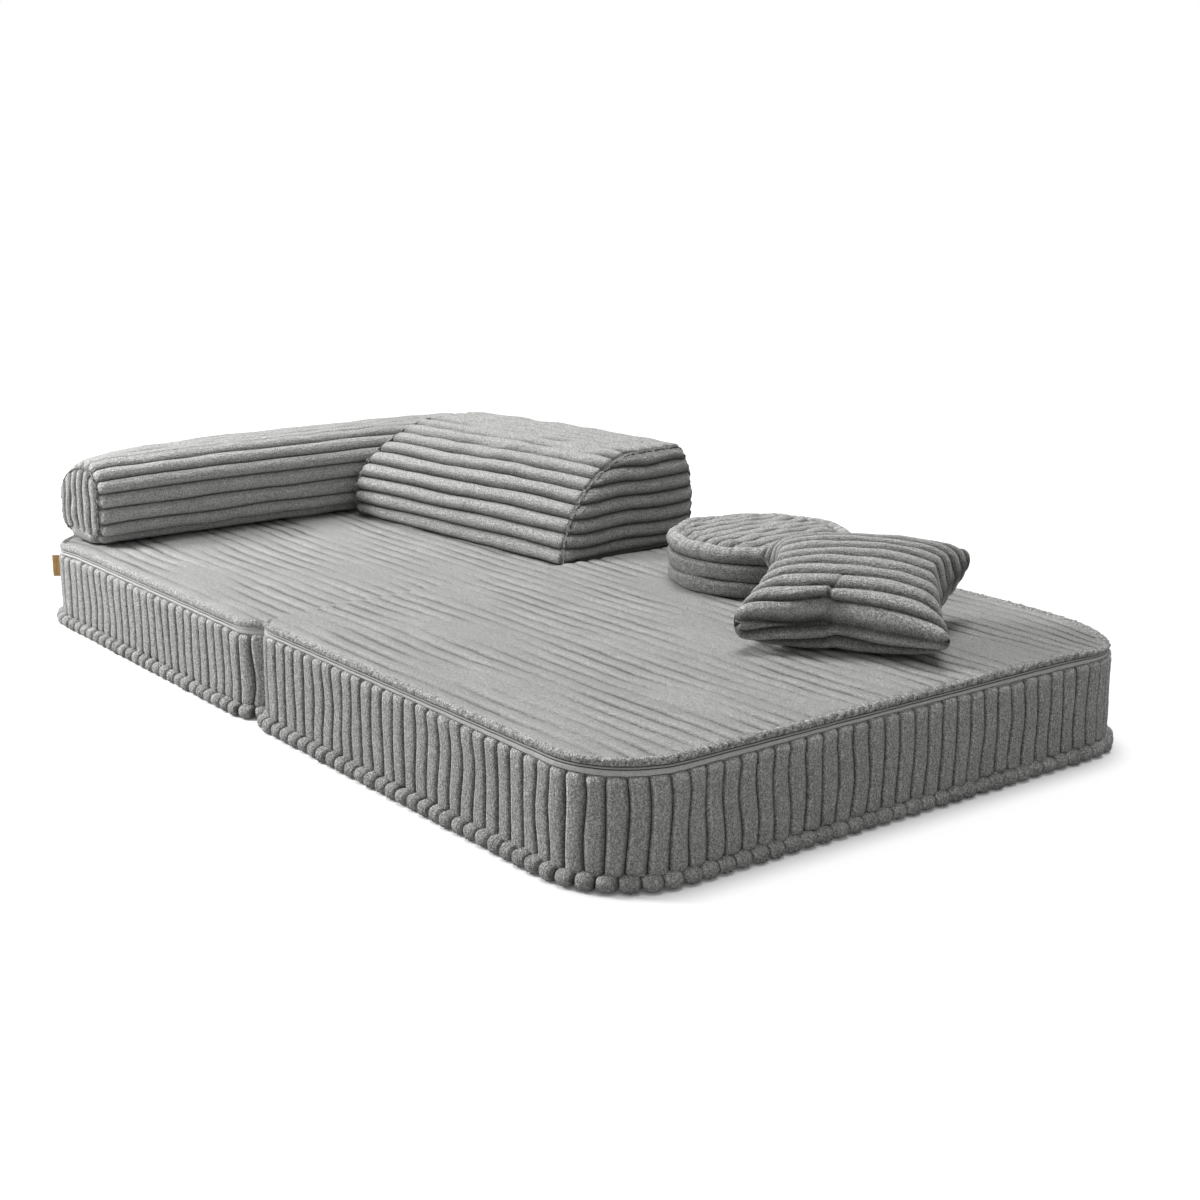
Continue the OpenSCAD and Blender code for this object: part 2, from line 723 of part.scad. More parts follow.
// Its top swells along the middle and has ribs from front to back
module round_cushion_top() {
    r = round_r - rib_rise / 2;
    n = round(2 * r / rib_pitch);
    edge = round_crown - round_top_rise;
    color(TOP_COLOR) at_round_cushion() translate([0, 0, round_band_h]) intersection() {
        rotate_extrude($fn = 96) polygon(concat([[0, 0]], arc(r - edge, 0, edge, 0, 90),
            [[r - 2 * edge, round_crown], [0, round_crown]]));
        translate([0, r, 0]) rotate([90, 0, 0]) linear_extrude(2 * r) polygon(concat([[r, 0], [-r, 0]],
            [for (i = [0:n - 1], j = [0:rib_steps]) if (j < rib_steps || i == n - 1)
                let (t = (i + rib_share(j)) / n)
                [r * (2 * t - 1), round_crown - round_top_rise * (1 - rib_height(j))
                 - (edge - 1) * pow(2 * t - 1, 2)]]));
    }
}

// Height of the pillow's skin at u, v from -1 to 1 across it, above its seam
function pillow_swell(u, v, swell, ear) =
    swell * sqrt(max(0, (1 - u * u) * (1 - v * v)))
    + ear * sqrt(max(0, 1 - pow(max(abs(u), abs(v)), 6)));

// Grid of points on one side of the pillow: half its side, its draw, swell and corners, its
// rows as [v, share of the rib's rise that is missing], and its columns
function pillow_skin(half, draw, swell, ear, rise, rows, cols) =
    [for (row = rows, u = cols) let (v = row[0], z = pillow_swell(u, v, swell, ear))
        [u * (half - draw * (1 - v * v)), v * (half - draw * (1 - u * u)), z - min(z / 2, rise * row[1])]];

// Triangles over such a grid, whose points are numbered by place
function grid_faces(last, side, place) = concat(
    [for (i = [0:last - 1], k = [0:side - 1]) [place(i, k), place(i + 1, k), place(i + 1, k + 1)]],
    [for (i = [0:last - 1], k = [0:side - 1]) [place(i, k), place(i + 1, k + 1), place(i, k + 1)]]);

// Half of the pillow, flat at the seam
module pillow_half(half, draw, swell, ear, rise, rows, cols) {
    last = len(rows) - 1;
    side = len(cols) - 1;
    place = function (i, k) i * (side + 1) + k;
    seam = concat([for (k = [0:side]) place(0, k)], [for (i = [1:last]) place(i, side)],
        [for (k = [side - 1:-1:0]) place(last, k)], [for (i = [last - 1:-1:1]) place(i, 0)]);
    polyhedron(pillow_skin(half, draw, swell, ear, rise, rows, cols),
        concat(grid_faces(last, side, place), [seam]));
}

function even_steps(n) = [for (i = [0:n]) -cos(180 * i / n)];
ear_steps = 3;
pillow_rows = [for (i = [0:pillow_ribs - 1], j = [0:ear_steps])
    if (j < ear_steps || i == pillow_ribs - 1)
    [2 * (i + (1 - cos(180 * j / ear_steps)) / 2) / pillow_ribs - 1, 1 - sin(180 * j / ear_steps)]];
pillow_cols = even_steps(12);
pillow_lowest = min([for (p = pillow_skin(pillow_side / 2, pillow_draw, pillow_under, pillow_ear,
    pillow_rise, pillow_rows, pillow_cols)) p[1] * sin(pillow_tilt) - p[2] * cos(pillow_tilt)]);

module at_pillow() {
    translate([pillow_x, pillow_y, fold_h + clear - pillow_lowest])
        rotate([0, 0, pillow_turn]) rotate([pillow_tilt, 0, 0]) children();
}

module pillow_inside(gap) {
    wall = pillow_wall + pillow_rise + gap;
    rows = [for (v = even_steps(8)) [v, 0]];
    half = pillow_side / 2 - wall;
    pillow_half(half, pillow_draw, pillow_top - wall, 1, 0, rows, even_steps(8));
    mirror([0, 0, 1]) pillow_half(half, pillow_draw, pillow_under - wall, 1, 0, rows, even_steps(8));
}

module pillow_filling() color(FOAM_COLOR) at_pillow() pillow_inside(clear);

// The cover is two panels that meet at the seam round the middle
module pillow_panel(swell) {
    difference() {
        pillow_half(pillow_side / 2, pillow_draw, swell, pillow_ear, pillow_rise, pillow_rows, pillow_cols);
        pillow_inside(0);
    }
}

module pillow_upper_cover() color(SIDE_COLOR) at_pillow() pillow_panel(pillow_top);
module pillow_lower_cover() color(SIDE_COLOR) at_pillow() mirror([0, 0, 1]) pillow_panel(pillow_under);

seat_foam();
seat_side_band();
seat_top_panel();
seat_bottom_panel();
seat_zip_tape();
seat_zip_teeth();
seat_zip_slider();
seat_zip_pull();
seat_beaded_piping();
seat_hinge_cloth();
leather_tab();
backrest_hook_strip();
armrest_hook_strip();
foldout_foam();
foldout_side_band();
foldout_top_panel();
foldout_bottom_panel();
foldout_zip_tape();
foldout_zip_teeth();
foldout_zip_slider();
foldout_zip_pull();
foldout_beaded_piping();
foldout_hinge_cloth();
backrest_foam();
backrest_main_panel();
backrest_base_panel();
backrest_end_left();
backrest_end_right();
backrest_edging();
backrest_loop_strip();
armrest_foam();
armrest_main_panel();
armrest_base_panel();
armrest_end_front();
armrest_end_back();
armrest_edging();
armrest_loop_strip();
round_cushion_filling();
round_cushion_band();
round_cushion_top();
round_cushion_bottom();
pillow_filling();
pillow_upper_cover();
pillow_lower_cover();
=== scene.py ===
import math
import bpy
import numpy as np
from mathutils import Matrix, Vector


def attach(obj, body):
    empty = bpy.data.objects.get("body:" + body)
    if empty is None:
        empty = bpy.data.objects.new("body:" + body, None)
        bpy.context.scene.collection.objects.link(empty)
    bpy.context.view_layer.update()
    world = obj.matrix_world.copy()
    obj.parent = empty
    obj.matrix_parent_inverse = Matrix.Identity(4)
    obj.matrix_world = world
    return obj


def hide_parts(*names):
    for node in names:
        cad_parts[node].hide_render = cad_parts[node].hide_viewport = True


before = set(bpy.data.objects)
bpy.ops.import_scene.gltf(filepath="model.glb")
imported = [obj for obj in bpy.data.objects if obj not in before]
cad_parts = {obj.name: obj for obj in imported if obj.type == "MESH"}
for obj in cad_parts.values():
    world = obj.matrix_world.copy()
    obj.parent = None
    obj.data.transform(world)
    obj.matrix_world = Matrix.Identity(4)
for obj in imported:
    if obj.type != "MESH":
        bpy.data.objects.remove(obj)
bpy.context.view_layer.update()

# Everything below is worked out in millimetres and turned to metres when a piece gets its place.
MM = 0.001
PITCH = 19.3            # one rib of the wide-wale plush
RISE = 6.0              # how high the ribs stand on upright panels
HALF_DEPTH = 350.0
CORNER_R, JOINT_R = 86.0, 38.0
SOFT_CORNER = 75.0      # how far from a pad's corner its droop reaches
SEAT_JOINT_X, FOLD_JOINT_X = -12.65, -12.35
SEAT = dict(name="seat", length=595.0, height=110.0, joint=SEAT_JOINT_X, side=-1, seed=11,
            band=17.0, zip=12.4, roll=12.0, drop=6.5, lift=0.0, ragged=0.15)
FOLD = dict(name="foldout", length=620.0, height=118.0, joint=FOLD_JOINT_X, side=1, seed=29,
            band=17.2, zip=10.8, roll=7.0, drop=5.0, lift=2.6, ragged=1.0)
# The backrest stands turned by this many degrees
BACK_TURN = 4.0
PI = math.pi


# Colours and materials
def linear(code):
    """sRGB hex to linear RGBA."""
    values = [int(code[i:i + 2], 16) / 255 for i in (1, 3, 5)]
    return [v / 12.92 if v <= 0.04045 else ((v + 0.055) / 1.055) ** 2.4 for v in values] + [1.0]


def add(tree, kind, links=None, **settings):
    """Adds a node: inputs given by name or number are set, the rest are its own properties."""
    n = tree.nodes.new(kind)
    inputs = settings.pop("inputs", {})
    for key, value in settings.items():
        setattr(n, key, value)
    for key, value in inputs.items():
        n.inputs[key].default_value = value
    for key, socket in (links or {}).items():
        tree.links.new(socket, n.inputs[key])
    return n


def new_material(name):
    """An empty material, its tree and its output."""
    material = bpy.data.materials.new(name)
    material.use_nodes = True
    tree = material.node_tree
    tree.nodes.clear()
    output = add(tree, "ShaderNodeOutputMaterial")
    return material, tree, output


def plush(name, crest, flank, valley, brushed_and_highlight, brush, sheen, fuzz, contrast):
    """Wide-wale polyester plush, cut and brushed: short dense pile, so it is fully matt, its
    ribs pale at the crest with painted shade towards the groove, a soft sheen where the pile is
    seen from the side, and paler in random stroked patches and where a highlight is painted."""
    material, tree, output = new_material(name)
    uv = add(tree, "ShaderNodeUVMap", uv_map="pile")
    where = add(tree, "ShaderNodeTexCoord")
    crest_at = add(tree, "ShaderNodeAttribute", attribute_name="crest")
    highlight_at = add(tree, "ShaderNodeAttribute", attribute_name="stroke")
    # Pile streaks: tufts about 2 mm across, drawn out 9 mm along the rib
    streak_map = add(tree, "ShaderNodeMapping", {"Vector": uv.outputs["UV"]},
                     inputs={"Scale": (1 / 0.009, 1 / 0.002, 1)})
    streak = add(tree, "ShaderNodeTexNoise", {"Vector": streak_map.outputs["Vector"]},
                 inputs={"Scale": 1.0, "Detail": 2.0, "Roughness": 0.6})
    # Stroked patches, about 130 mm long and 45 mm wide
    patch_map = add(tree, "ShaderNodeMapping", {"Vector": uv.outputs["UV"]},
                    inputs={"Scale": (1 / 0.13, 1 / 0.045, 1)})
    patch = add(tree, "ShaderNodeTexNoise", {"Vector": patch_map.outputs["Vector"]},
                inputs={"Scale": 1.0, "Detail": 4.0, "Roughness": 0.6, "Distortion": 0.6})
    patch_range = add(tree, "ShaderNodeMapRange", {"Value": patch.outputs["Fac"]},
                      inputs={"From Min": 0.42, "From Max": 0.68, "To Max": brush})
    # Curled tufts, about 2 mm across: real ones are under 1 mm and would not show
    grain = add(tree, "ShaderNodeTexNoise", {"Vector": where.outputs["Object"]},
                inputs={"Scale": 1 / 0.0015, "Detail": 1.0, "Roughness": 0.5, "Distortion": 0.8})
    # Painted shade: as the crest value falls the colour goes to the flank's and then the valley's,
    # darkest in the grooves
    ramp = add(tree, "ShaderNodeValToRGB", {"Fac": crest_at.outputs["Fac"]})
    stops = ramp.color_ramp.elements
    stops[0].position, stops[0].color = 0.05, linear(valley)
    stops[1].position, stops[1].color = 0.92, linear(crest)
    middle = stops.new(0.55)
    middle.color = linear(flank)
    # Random stroked patches and the painted highlight both pale the colour towards the last one given
    amount = add(tree, "ShaderNodeMath", {0: patch_range.outputs["Result"], 1: highlight_at.outputs["Fac"]},
                 operation="ADD", use_clamp=True)
    stroked = add(tree, "ShaderNodeMix", {0: amount.outputs[0], 6: ramp.outputs["Color"]},
                  data_type="RGBA")
    stroked.inputs[7].default_value = linear(brushed_and_highlight)
    speckle = add(tree, "ShaderNodeMapRange", {"Value": grain.outputs["Fac"]},
                  inputs={"From Min": 0.41, "From Max": 0.59, "To Min": 1 - contrast,
                          "To Max": 1 + contrast})
    streaks = add(tree, "ShaderNodeMapRange", {"Value": streak.outputs["Fac"]},
                  inputs={"From Min": 0.36, "From Max": 0.64, "To Min": 1 - contrast / 3,
                          "To Max": 1 + contrast / 3})
    both = add(tree, "ShaderNodeMath", {0: speckle.outputs[0], 1: streaks.outputs[0]},
               operation="MULTIPLY")
    colour = add(tree, "ShaderNodeVectorMath", {0: stroked.outputs[2], 1: both.outputs[0]},
                 operation="MULTIPLY")
    height = add(tree, "ShaderNodeMath", {0: grain.outputs["Fac"], 1: streak.outputs["Fac"]},
                 operation="ADD")
    bump = add(tree, "ShaderNodeBump", {"Height": height.outputs[0]},
               inputs={"Strength": fuzz, "Distance": 0.005})
    shader = add(tree, "ShaderNodeBsdfPrincipled",
                 {"Base Color": colour.outputs[0], "Normal": bump.outputs["Normal"]},
                 inputs={"Roughness": 0.95, "Specular IOR Level": 0.1, "Sheen Weight": sheen,
                         "Sheen Roughness": 0.4, "Sheen Tint": linear("#FFFFFF")})
    tree.links.new(shader.outputs[0], output.inputs[0])
    return material


def woven(name, colour, thread, contrast, bump_strength):
    """Plain weave: crossed threads of the given width in metres, matt, with a slightly uneven dye."""
    material, tree, output = new_material(name)
    uv = add(tree, "ShaderNodeUVMap", uv_map="pile")
    scaled = add(tree, "ShaderNodeMapping", {"Vector": uv.outputs["UV"]},
                 inputs={"Scale": (1 / thread, 1 / thread, 1)})
    along = add(tree, "ShaderNodeTexWave", {"Vector": scaled.outputs["Vector"]},
                bands_direction="X", inputs={"Scale": 0.32, "Distortion": 0.6})
    across = add(tree, "ShaderNodeTexWave", {"Vector": scaled.outputs["Vector"]},
                 bands_direction="Y", inputs={"Scale": 0.32, "Distortion": 0.6})
    weave = add(tree, "ShaderNodeMath", {0: along.outputs["Fac"], 1: across.outputs["Fac"]},
                operation="MULTIPLY")
    dye = add(tree, "ShaderNodeTexNoise", {"Vector": uv.outputs["UV"]},
              inputs={"Scale": 60.0, "Detail": 3.0})
    tone = add(tree, "ShaderNodeMapRange", {"Value": dye.outputs["Fac"]},
               inputs={"To Min": 1 - contrast, "To Max": 1 + contrast})
    tinted = add(tree, "ShaderNodeVectorMath", {1: tone.outputs[0]}, operation="MULTIPLY")
    tinted.inputs[0].default_value = linear(colour)[:3]
    bump = add(tree, "ShaderNodeBump", {"Height": weave.outputs[0]},
               inputs={"Strength": bump_strength, "Distance": 0.0004})
    shader = add(tree, "ShaderNodeBsdfPrincipled",
                 {"Base Color": tinted.outputs[0], "Normal": bump.outputs["Normal"]},
                 inputs={"Roughness": 0.85, "Specular IOR Level": 0.2, "Sheen Weight": 0.25,
                         "Sheen Roughness": 0.4})
    tree.links.new(shader.outputs[0], output.inputs[0])
    return material


def leather(name, colour, rim, thread):
    """Split leather, vegetable tanned: fine pores, a soft wax sheen, darker where its cut edge
    was burnished, and a pale linen thread."""
    material, tree, output = new_material(name)
    where = add(tree, "ShaderNodeTexCoord")
    pores = add(tree, "ShaderNodeTexNoise", {"Vector": where.outputs["Object"]},
                inputs={"Scale": 1 / 0.0008, "Detail": 3.0, "Roughness": 0.6})
    clouds = add(tree, "ShaderNodeTexNoise", {"Vector": where.outputs["Object"]},
                 inputs={"Scale": 1 / 0.009, "Detail": 3.0})
    middle = add(tree, "ShaderNodeAttribute", attribute_name="crest")
    stitch = add(tree, "ShaderNodeAttribute", attribute_name="stroke")
    ground = add(tree, "ShaderNodeMix", {0: middle.outputs["Fac"]}, data_type="RGBA")
    ground.inputs[6].default_value, ground.inputs[7].default_value = linear(rim), linear(colour)
    sewn = add(tree, "ShaderNodeMix", {0: stitch.outputs["Fac"], 6: ground.outputs[2]}, data_type="RGBA")
    sewn.inputs[7].default_value = linear(thread)
    tone = add(tree, "ShaderNodeMapRange", {"Value": clouds.outputs["Fac"]},
               inputs={"From Min": 0.3, "From Max": 0.7, "To Min": 0.88, "To Max": 1.1})
    tinted = add(tree, "ShaderNodeVectorMath", {0: sewn.outputs[2], 1: tone.outputs[0]},
                 operation="MULTIPLY")
    bump = add(tree, "ShaderNodeBump", {"Height": pores.outputs["Fac"]},
               inputs={"Strength": 0.4, "Distance": 0.0004})
    shader = add(tree, "ShaderNodeBsdfPrincipled",
                 {"Base Color": tinted.outputs[0], "Normal": bump.outputs["Normal"]},
                 inputs={"Roughness": 0.6, "Specular IOR Level": 0.35})
    tree.links.new(shader.outputs[0], output.inputs[0])
    return material


def cast_metal(name, colour, worn):
    """Die-cast zinc with a satin grey coat: a low soft shine, with small rubbed patches."""
    material, tree, output = new_material(name)
    where = add(tree, "ShaderNodeTexCoord")
    rubs = add(tree, "ShaderNodeTexNoise", {"Vector": where.outputs["Object"]},
               inputs={"Scale": 1 / 0.003, "Detail": 4.0, "Roughness": 0.65})
    rubbed = add(tree, "ShaderNodeMapRange", {"Value": rubs.outputs["Fac"]},
                 inputs={"From Min": 0.5, "From Max": 0.68})
    tint = add(tree, "ShaderNodeMix", {0: rubbed.outputs[0]}, data_type="RGBA")
    tint.inputs[6].default_value, tint.inputs[7].default_value = linear(colour), linear(worn)
    rough = add(tree, "ShaderNodeMapRange", {"Value": rubs.outputs["Fac"]},
                inputs={"To Min": 0.48, "To Max": 0.3})
    bump = add(tree, "ShaderNodeBump", {"Height": rubs.outputs["Fac"]},
               inputs={"Strength": 0.15, "Distance": 0.0002})
    shader = add(tree, "ShaderNodeBsdfPrincipled",
                 {"Base Color": tint.outputs[2], "Roughness": rough.outputs[0],
                  "Normal": bump.outputs["Normal"]},
                 inputs={"Metallic": 0.85})
    tree.links.new(shader.outputs[0], output.inputs[0])
    return material


# The pads' tops: brushed and sat flat, so that the grooves are shallow and take only a light painted
# shade, and the pile is silvery
plush_top = plush("brushed_wide_wale_plush", "#A6A6A4", "#9C9C9A", "#747472", "#C4C4C2",
                  brush=0.3, sheen=0.2, fuzz=0.8, contrast=0.18)
# The pads' sides and beads: full upright pile, with deep painted shade in the grooves and a near-white
# painted highlight at the rib tops and beside each groove
plush_side = plush("wide_wale_plush", "#C2C2C0", "#8A8A88", "#20201E", "#FAFAF8",
                   brush=0.1, sheen=0.2, fuzz=1.0, contrast=0.36)
# The cut edge of the top's pile over the zip: open ragged tufts
plush_edge = plush("cut_pile_edge", "#C4C4C2", "#9A9A98", "#444442", "#D8D8D6",
                   brush=0.15, sheen=0.2, fuzz=1.0, contrast=0.4)
# Backrest, end panels, round top and pillow: plump ribs with a soft longer pile
plush_bolster = plush("plump_wide_wale_plush", "#C2C2C0", "#929290", "#2A2A28", "#C0C0BE",
                      brush=0.2, sheen=0.2, fuzz=0.9, contrast=0.32)
# The armrest's wrap: a paler copy of the same plush, painted lit, as its side faces away from the lamps
plush_painted_lit = plush("painted_lit_wide_wale_plush", "#D2D2D0", "#CACAC8", "#4A4A48", "#B2B2B0",
                    brush=0.15, sheen=0.2, fuzz=0.9, contrast=0.28)
# The round cushion's side: a darker copy of the same plush, painted shade
plush_painted_shade = plush("painted_shade_wide_wale_plush", "#949492", "#868684", "#222220", "#D6D6D4",
                   brush=0.1, sheen=0.2, fuzz=0.9, contrast=0.32)
# The band under the zip: short even velour, with painted shade in the lines where it folds in
velour_tape = plush("velour_band", "#C6C6C4", "#8E8E8C", "#242422", "#B0B0AE",
                    brush=0.2, sheen=0.2, fuzz=0.3, contrast=0.1)
# Polyester tapes and lining: their threads, about 0.4 mm, are drawn 1.1 to 1.6 mm wide to show
zip_cloth = woven("woven_zip_tape", "#B0B0AE", thread=0.0011, contrast=0.1, bump_strength=0.8)
hook_tape = woven("hook_tape", "#8A8A88", thread=0.0016, contrast=0.18, bump_strength=1.0)
under_cloth = woven("plain_lining", "#8A8A88", thread=0.0012, contrast=0.08, bump_strength=0.5)


# Making meshes
def clear_selection():
    """Object mode, with nothing selected."""
    if bpy.context.mode != "OBJECT":
        bpy.ops.object.mode_set(mode="OBJECT")
    bpy.ops.object.select_all(action="DESELECT")


def take_up(obj):
    """Makes one object the only one that operators act on."""
    clear_selection()
    obj.select_set(True)
    bpy.context.view_layer.objects.active = obj


def tube_blank(name, around, rows):
    """A closed tube of quads: a disc drawn up row by row. Gives the column and row of each point."""
    clear_selection()
    bpy.ops.mesh.primitive_circle_add(vertices=around, radius=1.0, fill_type="NGON")
    obj = bpy.context.object
    obj.name = obj.data.name = name
    bpy.ops.object.mode_set(mode="EDIT")
    bpy.ops.mesh.select_all(action="SELECT")
    for _ in range(rows - 1):
        bpy.ops.mesh.extrude_region_move(TRANSFORM_OT_translate={"value": (0, 0, 1)})
    bpy.ops.object.mode_set(mode="OBJECT")
    co = points_of(obj)
    column = np.rint(np.arctan2(co[:, 1], co[:, 0]) / (2 * PI) * around).astype(int) % around
    return obj, column, np.rint(co[:, 2]).astype(int)


def plate_blank(name, across, along):
    """A closed plate of quads, its face up. Gives the column, row and layer of each point."""
    clear_selection()
    bpy.ops.mesh.primitive_grid_add(x_subdivisions=across, y_subdivisions=along, size=2)
    obj = bpy.context.object
    obj.name = obj.data.name = name
    bpy.ops.object.mode_set(mode="EDIT")
    bpy.ops.mesh.select_all(action="SELECT")
    bpy.ops.mesh.extrude_region_move(TRANSFORM_OT_translate={"value": (0, 0, 1)})
    bpy.ops.object.mode_set(mode="OBJECT")
    co = points_of(obj)
    xs = len(np.unique(np.rint(co[:, 0] * 1e5))) - 1
    ys = len(np.unique(np.rint(co[:, 1] * 1e5))) - 1
    return (obj, np.rint((co[:, 0] + 1) / 2 * xs).astype(int),
            np.rint((co[:, 1] + 1) / 2 * ys).astype(int), np.rint(co[:, 2]).astype(int), xs, ys)


def points_of(obj):
    """A mesh's points, one row each."""
    co = np.empty(len(obj.data.vertices) * 3)
    obj.data.vertices.foreach_get("co", co)
    return co.reshape(-1, 3)


def place_points(obj, mm):
    """Moves a mesh's points to places given in millimetres."""
    obj.data.vertices.foreach_set("co", (np.asarray(mm) * MM).ravel())
    obj.data.update()


def face_out(obj):
    """Turns every face outwards and shades them smooth."""
    take_up(obj)
    bpy.ops.object.mode_set(mode="EDIT")
    bpy.ops.mesh.select_all(action="SELECT")
    bpy.ops.mesh.normals_make_consistent(inside=False)
    bpy.ops.object.mode_set(mode="OBJECT")
    bpy.ops.object.shade_smooth()


def faces_of(mesh):
    """Each face's first corner and number of corners, and the point at each corner."""
    start, total = (np.empty(len(mesh.polygons), int) for _ in range(2))
    mesh.polygons.foreach_get("loop_start", start)
    mesh.polygons.foreach_get("loop_total", total)
    corners = np.empty(len(mesh.loops), int)
    mesh.loops.foreach_get("vertex_index", corners)
    return start, total, corners


def mark(mesh, label, values):
    """Keeps a value for each point of a mesh under a name."""
    values = np.broadcast_to(np.asarray(values, np.float32), (len(mesh.vertices),))
    data = mesh.attributes.new(label, "FLOAT", "POINT").data
    data.foreach_set("value", np.ascontiguousarray(values))


def lay_pile(obj, along, across, crest, wrap=None, stroke=0.0):
    """The pile's UV map, in metres along and across the ribs, its crest value, low where shade is
    painted (on leather, its burnished rim), and how far a highlight is painted on it (on leather,
    its thread). wrap gives the axis and length of the way round a tube."""
    mesh = obj.data
    while mesh.uv_layers:
        mesh.uv_layers.remove(mesh.uv_layers[0])
    layer = mesh.uv_layers.new(name="pile")
    start, total, corners = faces_of(mesh)
    uv = np.stack([np.asarray(along)[corners], np.asarray(across)[corners]], axis=1) * MM
    if wrap is not None:            # close the last column of a tube
        axis, span = wrap
        quads = start[total == 4]
        idx = quads[:, None] + np.arange(4)
        v = uv[idx, axis]
        jump = (v.max(1) - v.min(1)) > span * MM / 2
        v[jump] = np.where(v[jump] < span * MM / 2, v[jump] + span * MM, v[jump])
        uv[idx, axis] = v
    layer.data.foreach_set("uv", uv.ravel())
    mark(mesh, "crest", crest)
    mark(mesh, "stroke", stroke)


def paint_rows(obj, row, levels):
    """Gives faces a material by the row that they start on: levels is [(first row, material)]."""
    start, _, corners = faces_of(obj.data)
    index = np.zeros(len(start), int)
    low = np.minimum.reduceat(row[corners], start)
    for first, which in levels:
        index[low >= first] = which
    obj.data.polygons.foreach_set("material_index", index)


def finish(obj, body, materials, replaced):
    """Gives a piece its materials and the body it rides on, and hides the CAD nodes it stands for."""
    for m in materials:
        obj.data.materials.append(m)
    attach(obj, body)
    if replaced:
        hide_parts(*replaced)
    return obj


def unit(v):
    """Held between 0 and 1."""
    return np.clip(v, 0, 1)


def hump(v, at, width):
    """1 where v is at, falling away smoothly on both sides."""
    return np.exp(-((v - at) / width) ** 2)


def waves(seed, scale, count=7):
    """A smooth uneven function of two lengths in millimetres, from about -1 to 1, always the same."""
    rng = np.random.default_rng(seed)
    turn = rng.uniform(0, 2 * PI, count)
    size = rng.uniform(0.6, 1.6, count) * 2 * PI / scale
    phase = rng.uniform(0, 2 * PI, count)

    def f(a, b):
        total = 0
        for t, k, p in zip(turn, size, phase):
            total = total + np.sin(k * (np.cos(t) * a + np.sin(t) * b) + p)
        return total / math.sqrt(count) / 1.2
    return f


# Ribs
def rib(t, p=2.6):
    """Height of a rib across its width t from 0 to 1: 0 in the groove, 1 on its broad crest."""
    return np.power(np.maximum(0, 1 - np.abs(2 * t - 1) ** p), 1 / p)


def rib_steps(n):
    """Shares of a rib's width, closer together beside the grooves."""
    return (1 - np.cos(PI * np.arange(n) / n)) / 2


def rib_end(depth, r, p=2.4):
    """How much of a rib's height is missing at a distance from its sewn end."""
    return np.where(depth < r, ((r - np.minimum(depth, r)) / r) ** p, 0.0)


def ribbed(t, ends, p=2.6):
    """A rib's height where its sewn ends take some of it away."""
    return np.power(np.maximum(0, 1 - np.abs(2 * t - 1) ** p - ends), 1 / p)


# Pads
def outline_at(length, s):
    """Point and outward direction of a pad's outline at distance s from the middle of its joint side."""
    s = np.asarray(s, float)
    a = HALF_DEPTH - JOINT_R
    b = a + JOINT_R * PI / 2
    c = b + length - JOINT_R - CORNER_R
    d = c + CORNER_R * PI / 2
    half = d + HALF_DEPTH - CORNER_R
    s = s % (2 * half)
    flip = s > half
    q = np.where(flip, 2 * half - s, s)
    x, y, nx, ny = (np.empty_like(q) for _ in range(4))

    def put(m, *values):
        for target, value in zip((x, y, nx, ny), values):
            target[m] = value[m] if isinstance(value, np.ndarray) else value
    put(q < a, 0.0, -q, -1.0, 0.0)
    turn = PI + (q - a) / JOINT_R
    put((q >= a) & (q < b), JOINT_R + JOINT_R * np.cos(turn),
        JOINT_R - HALF_DEPTH + JOINT_R * np.sin(turn), np.cos(turn), np.sin(turn))
    put((q >= b) & (q < c), JOINT_R + q - b, -HALF_DEPTH, 0.0, -1.0)
    turn = 1.5 * PI + (q - c) / CORNER_R
    put((q >= c) & (q < d), length - CORNER_R + CORNER_R * np.cos(turn),
        CORNER_R - HALF_DEPTH + CORNER_R * np.sin(turn), np.cos(turn), np.sin(turn))
    put(q >= d, length, CORNER_R - HALF_DEPTH + q - d, 1.0, 0.0)
    y = np.where(flip, -y, y)
    ny = np.where(flip, -ny, ny)
    return x, y, nx, ny


def half_way(length):
    """Half of the way round a pad's outline."""
    return (HALF_DEPTH - JOINT_R + JOINT_R * PI / 2 + length - JOINT_R - CORNER_R
            + CORNER_R * PI / 2 + HALF_DEPTH - CORNER_R)


def to_chair(pad, x, y, z):
    """From a pad's own lengths to the chair's. The seat's outer front corner droops a little."""
    wx = pad["joint"] + pad["side"] * x
    if pad is SEAT:
        away = np.hypot(x - SEAT["length"], y + HALF_DEPTH)
        z = z - 10.0 * hump(away, 0, SOFT_CORNER) * unit(z / SEAT["height"])
    return np.stack([wx, y, z], axis=1)


